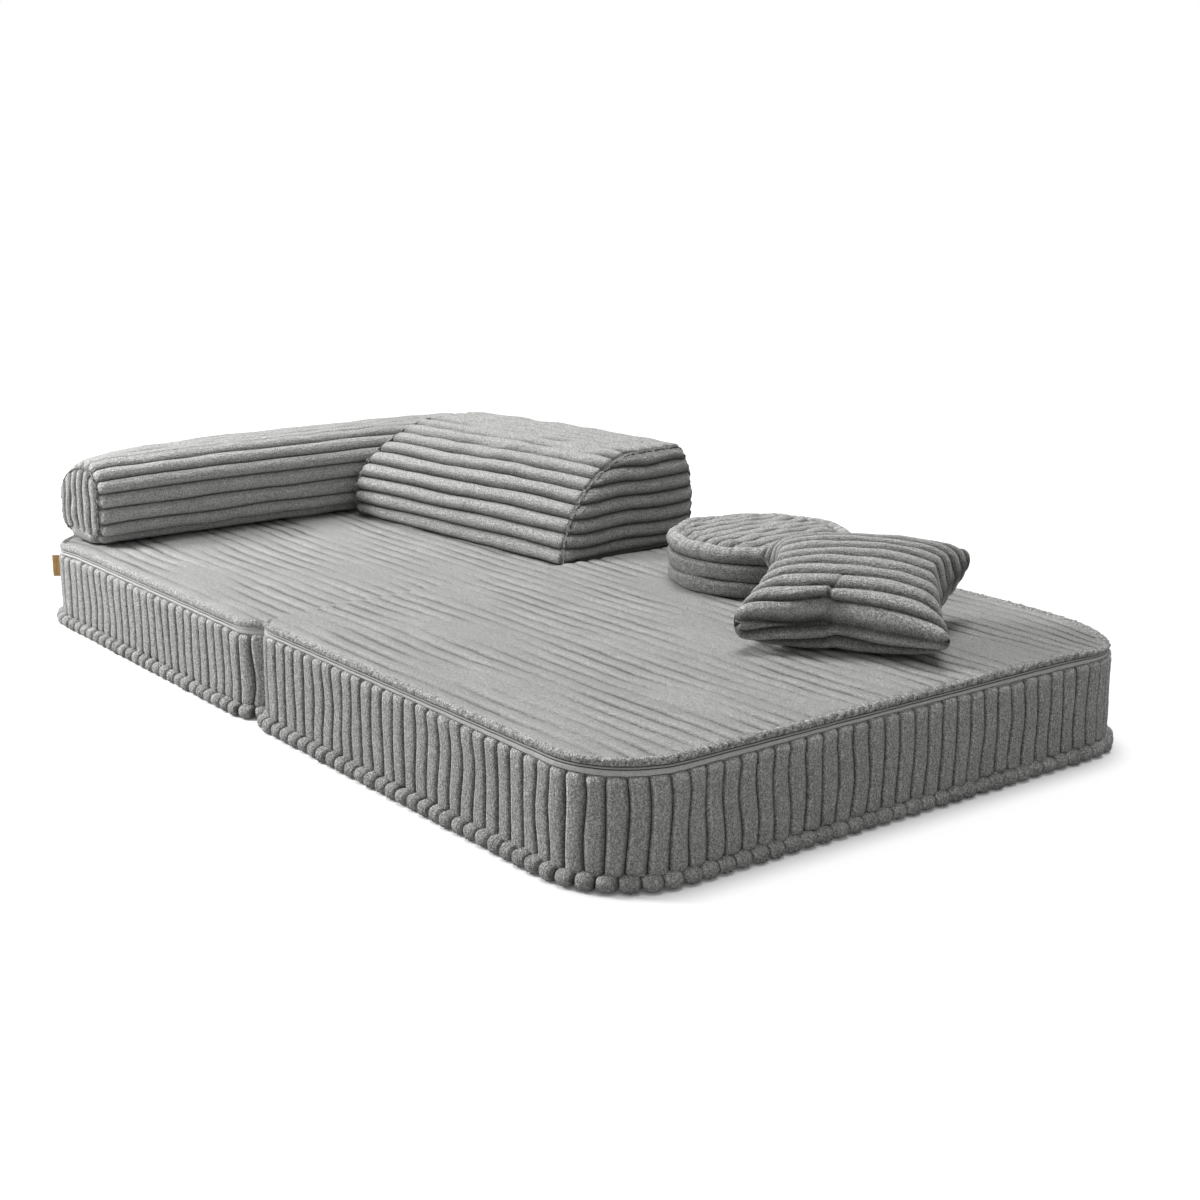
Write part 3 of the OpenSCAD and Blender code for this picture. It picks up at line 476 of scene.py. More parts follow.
def pad_side(pad):
    """The pad's upright side: plump ribs sewn under a velour band, the zip above it, and the
    cut pile of the top's edge, which stands out over the seam."""
    length, h, seed, side = pad["length"], pad["height"], pad["seed"], pad["side"]
    way = 2 * half_way(length)
    n = round(way / PITCH)
    step = 12
    top, foot, zip_at = h - pad["band"], 11.0, h - pad["zip"]
    edge = zip_at + 3.4
    # Rows from the foot up: height, distance in from the outline (None where the rib gives it), kind
    rows = [(foot - 1, 14.0, "rib"), (foot, 8.0, "rib")]
    rows += [(foot + d, None, "rib") for d in (0.3, 1.0, 2.0, 3.2, 4.8, 6.8, 9.2)]
    rows += [(z, None, "rib") for z in np.linspace(foot + 13, top - 10, 12)]
    rows += [(top - d, None, "rib") for d in (7.0, 4.8, 3.0, 1.7, 0.8, 0.2)]
    rows += [(top + 0.2, 5.0, "band"), (top + 0.9, 3.4, "band"), (top + 2.2, 3.0, "band"),
             (zip_at - 1.6, 3.0, "band"), (zip_at - 0.8, 3.2, "band"), (zip_at - 0.45, 4.6, "band"),
             (zip_at + 0.15, 4.6, "band"), (zip_at + 0.5, 3.3, "zip"), (zip_at + 1.2, 3.0, "zip"),
             (zip_at + 1.8, 3.3, "band"), (zip_at + 2.1, 4.6, "band"), (zip_at + 2.7, 4.6, "band"),
             (zip_at + 3.0, 3.4, "pile")]
    rows += [(edge + f * (h - 1.2 - edge), d, "pile")
             for f, d in ((0.0, 3.1), (0.12, 2.7), (0.3, 2.5), (0.5, 2.5), (0.7, 2.9), (0.88, 4.0),
                          (1.0, 5.4), (0.95, 7.2), (0.6, 9.2), (0.0, 14.0))]
    obj, column, row = tube_blank(pad["name"] + "_ribbed_side", n * step, len(rows))
    rng = np.random.default_rng(seed)
    z = np.array([r[0] for r in rows])[row]
    inset = np.array([np.nan if r[1] is None else r[1] for r in rows])[row]
    kind = np.array([r[2] for r in rows])[row]
    i = column // step
    t = rib_steps(step)[column % step]
    # Each groove wanders a little as it goes down, and much like its neighbours
    lean, phase = rng.uniform(-1, 1, n), rng.uniform(0, 2 * PI, n)
    swing = waves(seed + 1, 230)

    def groove(k):
        k = k % n
        fade = unit((top + 4 - z) / 20)
        return fade * (1.8 * swing(k * PITCH, z * 2.6) + 0.9 * np.sin(z / 14 + phase[k])
                       + 0.6 * lean[k])
    left, right = i * way / n + groove(i), (i + 1) * way / n + groove(i + 1)
    s = left + t * (right - left)
    x, y, nx, ny = outline_at(length, s)
    plump = 1 + 0.07 * rng.uniform(-1, 1, n)[i] + 0.07 * swing(z * 3, i * 31.0)
    low = foot + 1.5 * rng.uniform(-1, 1, n)[i]
    high = top + 1.2 * rng.uniform(-1, 1, n)[i]
    ends = rib_end(high - z, 6.0, 2.6) + rib_end(z - low, 6.0, 2.4)
    height = ribbed(t, ends, 2.7)
    tuft, fine, lump = waves(seed + 3, 8), waves(seed + 4, 5), waves(seed + 6, 11)
    rise = RISE * plump * height + 0.16 * tuft(s, z) * height
    # The ribs stand higher away from the rounded corner
    half = np.where(s % way > way / 2, way - s % way, s % way)
    b = HALF_DEPTH - JOINT_R + JOINT_R * PI / 2
    corner = b + length - JOINT_R - CORNER_R + CORNER_R * PI / 4
    lift = pad["lift"] * (1 - hump(half, corner, 190.0))
    share = np.where(z < top, (z - foot) / (top - foot), (zip_at - 0.6 - z) / (zip_at - 0.6 - top))
    z = z + lift * unit(share)
    # Where the band meets the joint its seams run out
    seam = unit((half - b + 12) / 34)
    soft = waves(seed + 5, 38)
    sewn = np.where(np.isnan(inset), 0, inset)
    line = (kind == "band") & (sewn > 4.2)
    sewn = np.where(line, 3.2 + (sewn - 3.2) * (0.1 + 0.9 * seam), sewn)
    depth = np.where(np.isnan(inset), RISE + 0.4 - rise, sewn + 0.3 * soft(s, z))
    # The cut pile of the top's edge is ragged, most of all at the free end
    curl = 0.55 * fine(s, z * 1.3) + 0.6 * tuft(s + 90, z) + 0.5 * lump(s, z)
    first = rows.index((zip_at + 3.0, 3.4, "pile"))
    ragged = (kind == "pile") * (row < len(rows) - 2) * (row > first)
    free = unit((half - corner + 60) / 120)
    amount = ragged * np.where(half < b - 30, 0.25, pad["ragged"] * (0.7 + 0.6 * free))
    out = np.clip((5.6 - sewn) / 3.4, -1, 1)
    joint = unit((b - 30 - half) / 20) * (kind == "pile")
    depth = depth - amount * curl * out
    z = z - 4.0 * joint
    z = z + amount * curl * np.sqrt(1 - out * out) * (z > h - 6)
    x, y = x - nx * depth, y - ny * depth
    z = z - corner_sink(pad, x, y) * unit((z - top) / (h - 1.2 - top)) ** 0.8
    place_points(obj, to_chair(pad, x, y, np.minimum(z, h + 0.4)))
    # Painted shade: the crest value falls in the grooves, in the band's fold lines, between sunk tufts
    # of the ragged edge and on the tucked foot rows
    crest = np.where(np.isnan(inset), height, 0.9)
    crest = np.where(line, 0.8 - 0.8 * seam, crest)
    crest = np.where(ragged > 0, unit(0.86 + 0.5 * curl * amount), crest)
    crest = np.where(row <= 1, 0.0, crest)
    # Painted highlight: a pale line beside each groove on the flank that faces the lamps, and painted
    # shade on the rib's other flank
    t_from_lit_flank = t if side > 0 else 1 - t
    painted_glint = (1 - 0.6 * free) * hump(t_from_lit_flank, 0.13, 0.065) * unit((height - 0.2) * 3)
    shade = unit((t_from_lit_flank - 0.72) / 0.28)
    crest = np.where(np.isnan(inset), crest * (1 - 0.3 * shade), crest)
    # Painted highlight: the rib tops just under the band are painted pale
    near_band = np.exp(-np.maximum(high + lift - z, 0) / 3.0)
    painted_highlight = np.where(np.isnan(inset), near_band * 0.9 + painted_glint, 0.1)
    lay_pile(obj, z, s, crest, wrap=(1, way), stroke=painted_highlight)
    slot_of = {"rib": 0, "band": 1, "zip": 2, "pile": 3}
    paint_rows(obj, row, [(k, slot_of[r[2]]) for k, r in enumerate(rows)])
    face_out(obj)
    name = pad["name"]
    return finish(obj, name + "_pad", [plush_side, velour_tape, zip_cloth, plush_edge],
                  [name + "_side_band", name + "_foam", name + "_zip_tape", name + "_zip_teeth"])


def corner_sink(pad, x, y):
    """How far the top's edge has sunk at the pad's softest corner, the free one at the back."""
    if pad["side"] < 0:
        return np.zeros_like(x)
    return 9.0 * hump(np.hypot(x - pad["length"] + 12, y - HALF_DEPTH + 12), 0, SOFT_CORNER)


def row_span(length, y, inset):
    """Where a line across the pad at y starts and ends inside its outline."""
    a = np.abs(y)

    def reach(r):
        over = np.clip(a - (HALF_DEPTH - r), 0, r - inset)
        return r - np.sqrt(np.maximum(0, (r - inset) ** 2 - over ** 2))
    return reach(JOINT_R), length - reach(CORNER_R)


def edge_steps(n):
    """Shares from 0 to 1 that lie closer together at both ends."""
    u = np.arange(n + 1) / n
    return u - 0.92 * np.sin(2 * PI * u) / (2 * PI)


def pad_top(pad):
    """The pad's top: low brushed ribs along it, rolled over the seam at the edge."""
    length, h, seed = pad["length"], pad["height"], pad["seed"]
    inset, roll = 6.2, pad["roll"]
    wide = 2 * (HALF_DEPTH - inset)
    n = round(wide / PITCH)
    step = 10
    obj, column, row, layer, across, _ = plate_blank(pad["name"] + "_top", 120, n * step)
    share = edge_steps(across)[column]
    cut = rib_steps(step)
    t = np.where(row == n * step, 1.0, cut[row % step])
    i = np.minimum(row // step, n - 1)
    bend = waves(seed + 7, 300)
    y0 = (i + t) / n
    x_guess = share * length
    fade = unit(np.minimum(y0, 1 - y0) * 12)
    y = wide * (y0 - 0.5) + fade * (1.6 * bend(x_guess, y0 * wide))
    lo, hi = row_span(length, y, inset)
    # At the joint the panel reaches nearly to its edge, and meets the other pad's there
    meet = unit((HALF_DEPTH - JOINT_R - np.abs(y)) / 25)
    lo = lo - 5.0 * meet
    x = lo + share * (hi - lo)
    # Distance to the outline
    d = np.minimum(HALF_DEPTH - np.abs(y), np.minimum(x, length - x))
    for cx, r in ((JOINT_R, JOINT_R), (length - CORNER_R, CORNER_R)):
        beyond = (np.abs(y) > HALF_DEPTH - r) & ((x < r) if cx == JOINT_R else (x > length - r))
        far = r - np.hypot(x - cx, np.abs(y) - (HALF_DEPTH - r))
        d = np.where(beyond, far, d)
    d = np.maximum(0, d - inset + 5.0 * meet * (x < JOINT_R))
    joint_side = (x < JOINT_R) & (np.abs(y) < HALF_DEPTH - JOINT_R)
    r = np.where(joint_side, 3.0, roll)
    k = unit(d / r)
    drop = pad["drop"] * (1 - np.sqrt(np.maximum(0, 1 - (1 - k) ** 2)))
    drop = np.where(joint_side, np.minimum(drop, 1.5), drop)
    soft, tuft = waves(seed + 9, 70), waves(seed + 13, 8)
    lump, pressed = waves(seed + 15, 15), waves(seed + 17, 170)
    near = np.exp(-d / 5.0)
    # The pile lies flatter where the pad was leaned on, and leans towards the front
    relief = np.clip(0.85 + 0.7 * pressed(x * 0.6, y * 1.4), 0.15, 1.25)
    body = rib(t, 2.0) * (1 - 0.3 * t)
    groove = 3.3 * relief * (1 - body) * (1 - 0.4 * near)
    crown = 2.0 * (2 * y / wide) ** 2
    z = h - drop - groove - crown + 0.4 * soft(x, y) + 0.1 * tuft(x, y)
    fringe = near * np.where(joint_side, 0.2, 1.0)
    z = z + fringe * (0.5 * lump(x, y) + 0.4 * tuft(x * 1.7, y * 1.7))
    bottom = layer == 0
    z = np.where(bottom, h - 5.4, np.maximum(z, h - 5.2)) - corner_sink(pad, x, y)
    gx, gy = edge_direction(length, x, y)
    tuck = np.where(bottom, 5.0 * near, 0)
    x, y = x - gx * tuck, y - gy * tuck
    place_points(obj, to_chair(pad, x, y, z))
    # Painted highlight near one flank of each rib, painted shade in the grooves and towards the other
    # flank, and paler along the rolled edge
    painted_glint = 0.5 * hump(t, 0.2, 0.11) * unit(relief - 0.2)
    crest = 1 - relief * (1 - rib(t, 1.9)) - 0.5 * relief * t ** 2
    lay_pile(obj, x, y, np.where(bottom, 0, crest),
             stroke=np.where(joint_side, 0.0, 0.35 * near) + painted_glint * ~bottom)
    face_out(obj)
    name = pad["name"]
    return finish(obj, name + "_pad", [plush_top], [name + "_top_panel"])


def edge_direction(length, x, y):
    """Outward direction of the nearest edge of a pad."""
    gx, gy = np.zeros_like(x), np.zeros_like(y)
    d = np.stack([x, length - x, HALF_DEPTH - np.abs(y)])
    nearest = d.argmin(0)
    gx[nearest == 0], gx[nearest == 1] = -1, 1
    gy[nearest == 2] = np.sign(y[nearest == 2])
    for cx, r, ahead in ((JOINT_R, JOINT_R, -1), (length - CORNER_R, CORNER_R, 1)):
        m = (np.abs(y) > HALF_DEPTH - r) & ((x - cx) * ahead > 0)
        vx, vy = x - cx, y - np.sign(y) * (HALF_DEPTH - r)
        size = np.maximum(1e-6, np.hypot(vx, vy))
        gx, gy = np.where(m, vx / size, gx), np.where(m, vy / size, gy)
    return gx, gy


# A bead's half sizes along the roll, across it and up, and the height of its middle
BEAD_HALF, BEAD_DEEP, BEAD_HIGH, BEAD_RISE = 9.9, 10.0, 7.7, 7.2
# How square its outline is: 2 would be an ellipse
BEAD_POWER = 2.45


def bead(name, rng, wrinkles):
    """One plump bead of the foot roll: a stuffed pinch of a rib, wrinkled by its thread."""
    clear_selection()
    bpy.ops.mesh.primitive_uv_sphere_add(segments=16, ring_count=16, radius=1.0)
    obj = bpy.context.object
    obj.name = obj.data.name = name
    co = points_of(obj)
    # The sphere's poles point along the roll
    co = co[:, [2, 0, 1]]
    co = np.sign(co) * np.abs(co) ** (2.0 / BEAD_POWER)
    wrinkle = wrinkles * 0.09 * np.cos(co[:, 0] * 13 + rng.uniform(0, 6))
    fold = 1 + wrinkle * (1 - np.abs(co[:, 0]) ** 2)
    co[:, 1:] *= fold[:, None]
    obj.data.vertices.foreach_set("co", co.ravel())
    return obj


def pad_beads(pad):
    """The roll round the pad's foot: a plump bead for each rib of its side."""
    length, seed = pad["length"], pad["seed"]
    way = 2 * half_way(length)
    # The roll starts on the joint's rounded corner, where a bead is just clear of the other pad
    clear, tucked = 8.8, 2.5
    round_by = PI / 2 - math.asin((JOINT_R - clear) / (JOINT_R - tucked))
    start = HALF_DEPTH - JOINT_R + JOINT_R * round_by
    n = round((way - 2 * start) / PITCH)
    rng = np.random.default_rng(seed + 70)
    stamps = [bead("stamp%d" % k, rng, w) for k, w in enumerate((0.3, 0.8, 1.2, 1.6))]
    base = [points_of(s) for s in stamps]
    parts = []
    name = pad["name"] + "_beaded_foot"
    for k in range(n + 1):
        s = start + k * (way - 2 * start) / n
        (x,), (y,), (nx,), (ny,) = outline_at(length, np.array([s]))
        pick = int(rng.integers(0, 4))
        obj = stamps[pick].copy()
        obj.data = stamps[pick].data.copy()
        bpy.context.collection.objects.link(obj)
        co = base[pick].copy()
        half = BEAD_HALF + rng.uniform(-0.25, 0.25)
        deep = BEAD_DEEP + rng.uniform(-0.7, 0.7)
        high = BEAD_HIGH + rng.uniform(-0.4, 0.6)
        co = co * (half, deep, high)
        co[:, 0] += co[:, 1] * rng.uniform(-0.12, 0.12)
        # At the pad's ends the beads are tucked further under its side
        tuck = 1.4 + 1.8 * abs(nx)
        cx, cy = x - nx * tuck, y - ny * tuck
        tx, ty = -ny, nx
        px = cx + co[:, 0] * tx + co[:, 1] * nx
        py = cy + co[:, 0] * ty + co[:, 1] * ny
        pz = np.maximum(0.0, BEAD_RISE + co[:, 2])
        place_points(obj, to_chair(pad, px, py, pz))
        along = s + co[:, 0]
        across = np.abs(co[:, 0]) / half
        # Painted shade towards both ends of each bead, where it meets the next, more on the side away
        # from the lamps, and a painted highlight near the end that faces them
        lit_side = co[:, 0] * pad["side"] < 0
        crest = unit(1.1 - 1.1 * across ** 5) * np.where(lit_side, 1, 1 - 0.35 * across)
        lay_pile(obj, co[:, 1] + co[:, 2], along, crest, stroke=0.8 * lit_side * hump(across, 0.82, 0.1))
        parts.append(obj)
    for s in stamps:
        bpy.data.objects.remove(s)
    clear_selection()
    for p in parts:
        p.select_set(True)
    bpy.context.view_layer.objects.active = parts[0]
    bpy.ops.object.join()
    obj = bpy.context.object
    obj.name = obj.data.name = name
    face_out(obj)
    return finish(obj, pad["name"] + "_pad", [plush_side], [pad["name"] + "_beaded_piping"])


def pad_underside(pad):
    """Plain lining under the pad."""
    length = pad["length"]
    obj, column, row, layer, across, along = plate_blank(pad["name"] + "_lining", 40, 60)
    u, v = column / across, row / along
    y = (v - 0.5) * 2 * (HALF_DEPTH - 12)
    lo, hi = row_span(length, y, 12)
    x = lo + u * (hi - lo)
    soft = waves(pad["seed"] + 20, 120)
    z = np.where(layer == 1, 15.5, 0.4 + 0.4 * soft(x, y))
    place_points(obj, to_chair(pad, x, y, np.maximum(z, 0)))
    lay_pile(obj, x, y, np.ones(len(x)))
    face_out(obj)
    name = pad["name"]
    return finish(obj, name + "_pad", [under_cloth], [name + "_bottom_panel"])


# How far the tab stands out and up, where it leaves the seam, and the direction it stands out in
TAB_OUT, TAB_HIGH = 11.0, 28.0
TAB_X, TAB_Y, TAB_FOOT = -571.06, -334.57, 54.1
TAB_WAY = (-0.575, -0.818)


def leather_tab():
    """A strip of leather folded in two and caught in the seam at the seat's far front corner."""
    obj, column, row, layer, across, along = plate_blank("leather_tab_folded", 32, 64)
    u, v = column / across, row / along
    out, up = 0.2 + 10.5 * u, TAB_HIGH * v
    thick = 1.42 * np.sqrt(unit((TAB_OUT - out) / 1.5)) * (0.72 + 0.28 * unit(u * 1.6))
    rim = np.minimum(np.minimum(up, TAB_HIGH - up), TAB_OUT - out)
    thick = thick * np.sqrt(unit(rim / 0.7 + 0.35))
    # A row of stitches holds its two leaves together
    stitch, stitched_at = 3.5, 3.2
    dash = unit(1.4 - np.abs(up % stitch - stitch / 2)) * (np.abs(out - stitched_at) < 0.45)
    dash = dash * (np.abs(up - TAB_HIGH / 2) < 12)
    thick = thick * (1 - 0.25 * hump(out, stitched_at, 0.7)) + 0.15 * dash
    soft = waves(503, 14)
    side = np.where(layer == 1, thick, -thick) + 0.25 * soft(out, up) * u
    dx, dy = TAB_WAY
    x, y = TAB_X + dx * out - dy * side, TAB_Y + dy * out + dx * side
    place_points(obj, np.stack([x, y, TAB_FOOT + up * 27.8 / TAB_HIGH], axis=1))
    lay_pile(obj, out, up, unit(rim / 1.6 - 0.1), stroke=dash)
    face_out(obj)
    hide = leather("vegetable_tanned_leather", "#B08A55", "#5E452A", "#CDB68C")
    return finish(obj, "seat_pad", [hide], ["leather_tab"])


def hook_strip(name, cx, cy, length, width, turn, seed, replaced):
    """A strip of hook tape let into the seat's top: a field of hooks between plain selvedges
    that are sewn down."""
    obj, column, row, layer, across, along = plate_blank(name, 160, 40)
    a, b = (column / across - 0.5) * (length - 0.6), (row / along - 0.5) * (width - 0.6)
    soft, hooks = waves(seed, 60), waves(seed + 1, 3.5)
    edge = np.minimum(length / 2 - np.abs(a), width / 2 - np.abs(b))
    field = unit(edge - 3.0)
    # It stays just under the seat's top, which is at 110 mm
    z = 109.35 + 0.45 * field + 0.12 * field * hooks(a, b) + 0.05 * soft(a, b)
    z = z - 0.3 * hump(edge, 2.2, 0.6)
    z = np.where(layer == 1, np.minimum(z, 109.98), 108.5)
    c, s = math.cos(math.radians(turn)), math.sin(math.radians(turn))
    place_points(obj, np.stack([cx + a * c - b * s, cy + a * s + b * c, z], axis=1))
    lay_pile(obj, a, b, np.ones(len(a)))
    face_out(obj)
    return finish(obj, "seat_pad", [hook_tape], [replaced])


def hinge_cloth(pad):
    """Half of the cloth hinge: a strip sewn to the lining and turned up at the joint."""
    obj, column, row, layer, across, along = plate_blank(pad["name"] + "_hinge_strip", 28, 140)
    wide, long, fold = 26.0, 573.0, 15.9
    s, y = column / across * wide, (row / along - 0.5) * long
    soft = waves(pad["seed"] + 40, 45)
    inner = layer == 1
    flat = s - 15.6
    x = np.where(s < fold, np.where(inner, 1.9, 0.15), np.where(inner, np.maximum(1.9, flat), flat))
    face = np.where(inner, 1.3, 0.15)
    z = np.maximum(np.where(s < fold, 16.3 - s, face), face)
    x = x + np.where(inner & (s < 13), 0.12 * soft(y, s * 3), 0)
    place_points(obj, to_chair(pad, x, y, z))
    lay_pile(obj, s, y, np.ones(len(s)))
    face_out(obj)
    name = pad["name"]
    return finish(obj, name + "_pad", [under_cloth], [name + "_hinge_cloth"])


def zip_fittings():
    """The sliders and pulls keep their shape and get the coated metal."""
    coat = cast_metal("satin_coated_zinc", "#8E8E8C", "#C2C2C0")
    for name in ("seat_zip_slider", "seat_zip_pull", "foldout_zip_slider", "foldout_zip_pull"):
        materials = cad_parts[name].data.materials
        if len(materials) == 0:
            materials.append(coat)
        for k in range(len(materials)):
            materials[k] = coat


for pad in (SEAT, FOLD):
    pad_side(pad)
    pad_top(pad)
    pad_beads(pad)
    pad_underside(pad)
    hinge_cloth(pad)
leather_tab()
hook_strip("backrest_hook_tape", cx=-235.0, cy=156.9, length=335.4, width=40.0, turn=BACK_TURN,
           seed=511, replaced="backrest_hook_strip")
hook_strip("armrest_hook_tape", cx=-522.15, cy=-30.5, length=40.0, width=505.0, turn=0.0,
           seed=517, replaced="armrest_hook_strip")
zip_fittings()


# Bolsters
def arc(x, y, r, start, end, n=24):
    """Points of an arc round x, y, from one angle to another in degrees."""
    a = np.radians(np.linspace(start, end, n))
    return np.stack([x + r * np.cos(a), y + r * np.sin(a)], axis=1)


def back_section(inset=0.0):
    """The backrest's section from its front foot over the curve to its back foot."""
    a = np.linspace(0, PI / 2, 90)
    power = 2 / 1.9
    curve = np.stack([125 - (125 - inset) * np.cos(a) ** power,
                      (126 - inset) * np.maximum(0, np.sin(a)) ** power], axis=1)
    return np.concatenate([curve, arc(187, 108, 18 - inset, 90, 0), [[205 - inset, 0.0]]])


def arm_section(inset=0.0):
    """The armrest's section from its base round the outer side, over the top and down again."""
    return np.concatenate([arc(28, 28, 28 - inset, 262, 180), arc(40, 66, 40 - inset, 180, 90),
                           arc(95, 66, 40 - inset, 90, 0), arc(107, 28, 28 - inset, 0, -82)])


def along_path(path, s):
    """Point and outward direction at distances s along a clockwise path."""
    step = np.hypot(*np.diff(path, axis=0).T)
    ways = np.concatenate([[0], np.cumsum(step)])
    s = np.clip(s, 0, ways[-1])
    x, y = np.interp(s, ways, path[:, 0]), np.interp(s, ways, path[:, 1])
    a, b = np.clip(s - 2.5, 0, ways[-1]), np.clip(s + 2.5, 0, ways[-1])
    dx = np.interp(b, ways, path[:, 0]) - np.interp(a, ways, path[:, 0])
    dy = np.interp(b, ways, path[:, 1]) - np.interp(a, ways, path[:, 1])
    size = np.maximum(1e-9, np.hypot(dx, dy))
    return x, y, -dy / size, dx / size


def path_length(path):
    """Length of an open path of points."""
    return np.hypot(*np.diff(path, axis=0).T).sum()


def edge_distance(path, x, y):
    """Distance of each point to a path, with the direction to it."""
    best = np.full(x.shape, 1e9)
    gx, gy = np.zeros_like(x), np.zeros_like(y)
    closed = np.concatenate([path, path[:1]])
    for (ax, ay), (bx, by) in zip(closed[:-1], closed[1:]):
        dx, dy = bx - ax, by - ay
        size = dx * dx + dy * dy
        if size < 1e-9:
            continue
        t = unit(((x - ax) * dx + (y - ay) * dy) / size)
        vx, vy = ax + t * dx - x, ay + t * dy - y
        d = np.hypot(vx, vy)
        m = d < best
        best = np.where(m, d, best)
        gx, gy = np.where(m, vx, gx), np.where(m, vy, gy)
    size = np.maximum(1e-6, best)
    return best, gx / size, gy / size


def bolster_wrap(name, body, path, length, seed, place, replaced, noses, pile):
    """A bolster's main panel: plump ribs along it that turn in to the end seams with rounded
    noses, and a plain base. noses gives how far they turn in at the two ends."""
    total = path_length(path)
    n = round(total / PITCH)
    step, base = 13, 16
    near_cap, far_cap = (4.0 if m > 8 else 9.0 for m in noses)
    steps = (0, 0.2, 0.7, 1.5, 2.6, 4.0, 5.8, 8.0, 11.0)
    middle = np.linspace(near_cap + 15, length - far_cap - 15, int(length / 7))
    levels = np.array([near_cap - 1] + [near_cap + d for d in steps] + list(middle)
                      + [length - far_cap - d for d in steps[::-1]] + [length - far_cap + 1])
    around = n * step + base
    obj, column, row = tube_blank(name, around, len(levels))
    rng = np.random.default_rng(seed)
    swing, soft = waves(seed + 1, 230), waves(seed + 2, 75)
    tuft, pucker = waves(seed + 3, 8), waves(seed + 4, 17)
    phase = rng.uniform(0, 2 * PI, n + 1)
    far = levels[row]
    on_base = column >= n * step
    i = np.minimum(column // step, n - 1)
    t = rib_steps(step)[column % step]

    def groove(k):
        inner = unit(np.minimum(k, n - k))
        return inner * (0.9 * swing(k * PITCH, far) + 0.5 * np.sin(far / 27 + phase[k]))
    s = (i + t) * total / n + (1 - t) * groove(i) + t * groove(i + 1)
    x, y, nx, ny = along_path(path, s)
    near_end, far_end = far - near_cap, length - far_cap - far
    end = np.minimum(near_end, far_end)
    nose = np.where(near_end < far_end, *noses)
    plump = 1 + 0.08 * rng.uniform(-1, 1, n)[i] + 0.07 * swing(far * 2, i * 37.0)
    uneven = rng.uniform(0, 2.6, n)[i]
    # Along the top the pile is brushed down, so that the grooves nearly close
    top = unit((ny - 0.78) / 0.2) * np.clip(end / 30, 0.1, 1)
    brushed_and_highlight = np.clip(top * (0.62 + 0.4 * soft(far, s * 0.5)), 0, 0.85)
    height = ribbed(t, rib_end(np.maximum(0, end - uneven * (end < 20)), 6.0, 2.4), 2.05)
    height = np.where(end <= 0.01, 0, 1 - (1 - brushed_and_highlight) * (1 - height))
    rise = 8.4 * plump * height + 0.16 * tuft(s, far) * height
    turn_in = nose * (1 - np.sqrt(np.maximum(0, 1 - (1 - unit(end / nose)) ** 2)))
    draw = 1.6 * np.exp(-np.maximum(end, 0) / 5.0) * (1 + 0.6 * pucker(s, 0 * s))
    depth = 7.6 - rise + draw + turn_in - 0.7 * soft(s, far) * unit(end / 30)
    # The tube's two closing discs are smaller, so that the end panels hide them
    closing, disc_in = end < -0.5, 22.0
    depth = np.where(closing, disc_in, depth)
    px, py = x - nx * depth, y - ny * depth
    share = (column - n * step) / base
    inset = np.where(closing, disc_in, 5.5 + np.minimum(turn_in, 8))
    first, last = path[0], path[-1]
    px = np.where(on_base, last[0] - inset + share * (first[0] - last[0] + 2 * inset), px)
    py = np.where(on_base, np.where(closing, 8.0, 0.6), py)
    py = np.maximum(py, 0.5)
    place_points(obj, place(px, py, far))
    # Painted shade on the lower flank of each rib and a painted highlight on its upper one; the brushed
    # top is painted paler as a sheen, and it is paler just beside the sewn ends
    down = np.where(nx < 0, 1 - t, t)
    darker = 0.5 if pile is plush_bolster else 0.35
    crest = height * (1 - darker * unit((down - 0.45) / 0.45) * (1 - brushed_and_highlight))
    painted_glint = 0.6 * hump(down, 0.16, 0.08) * unit(height)
    lay_pile(obj, far, s, np.where(on_base, 1.0, crest), wrap=(1, total),
             stroke=0.7 * brushed_and_highlight + painted_glint + 0.3 * np.exp(-np.maximum(end, 0) / 3.0) * (end > 0))
    paint_rows(obj, np.where(on_base, 1, 0), [(1, 1)])
    face_out(obj)
    return finish(obj, body, [pile, under_cloth], replaced)


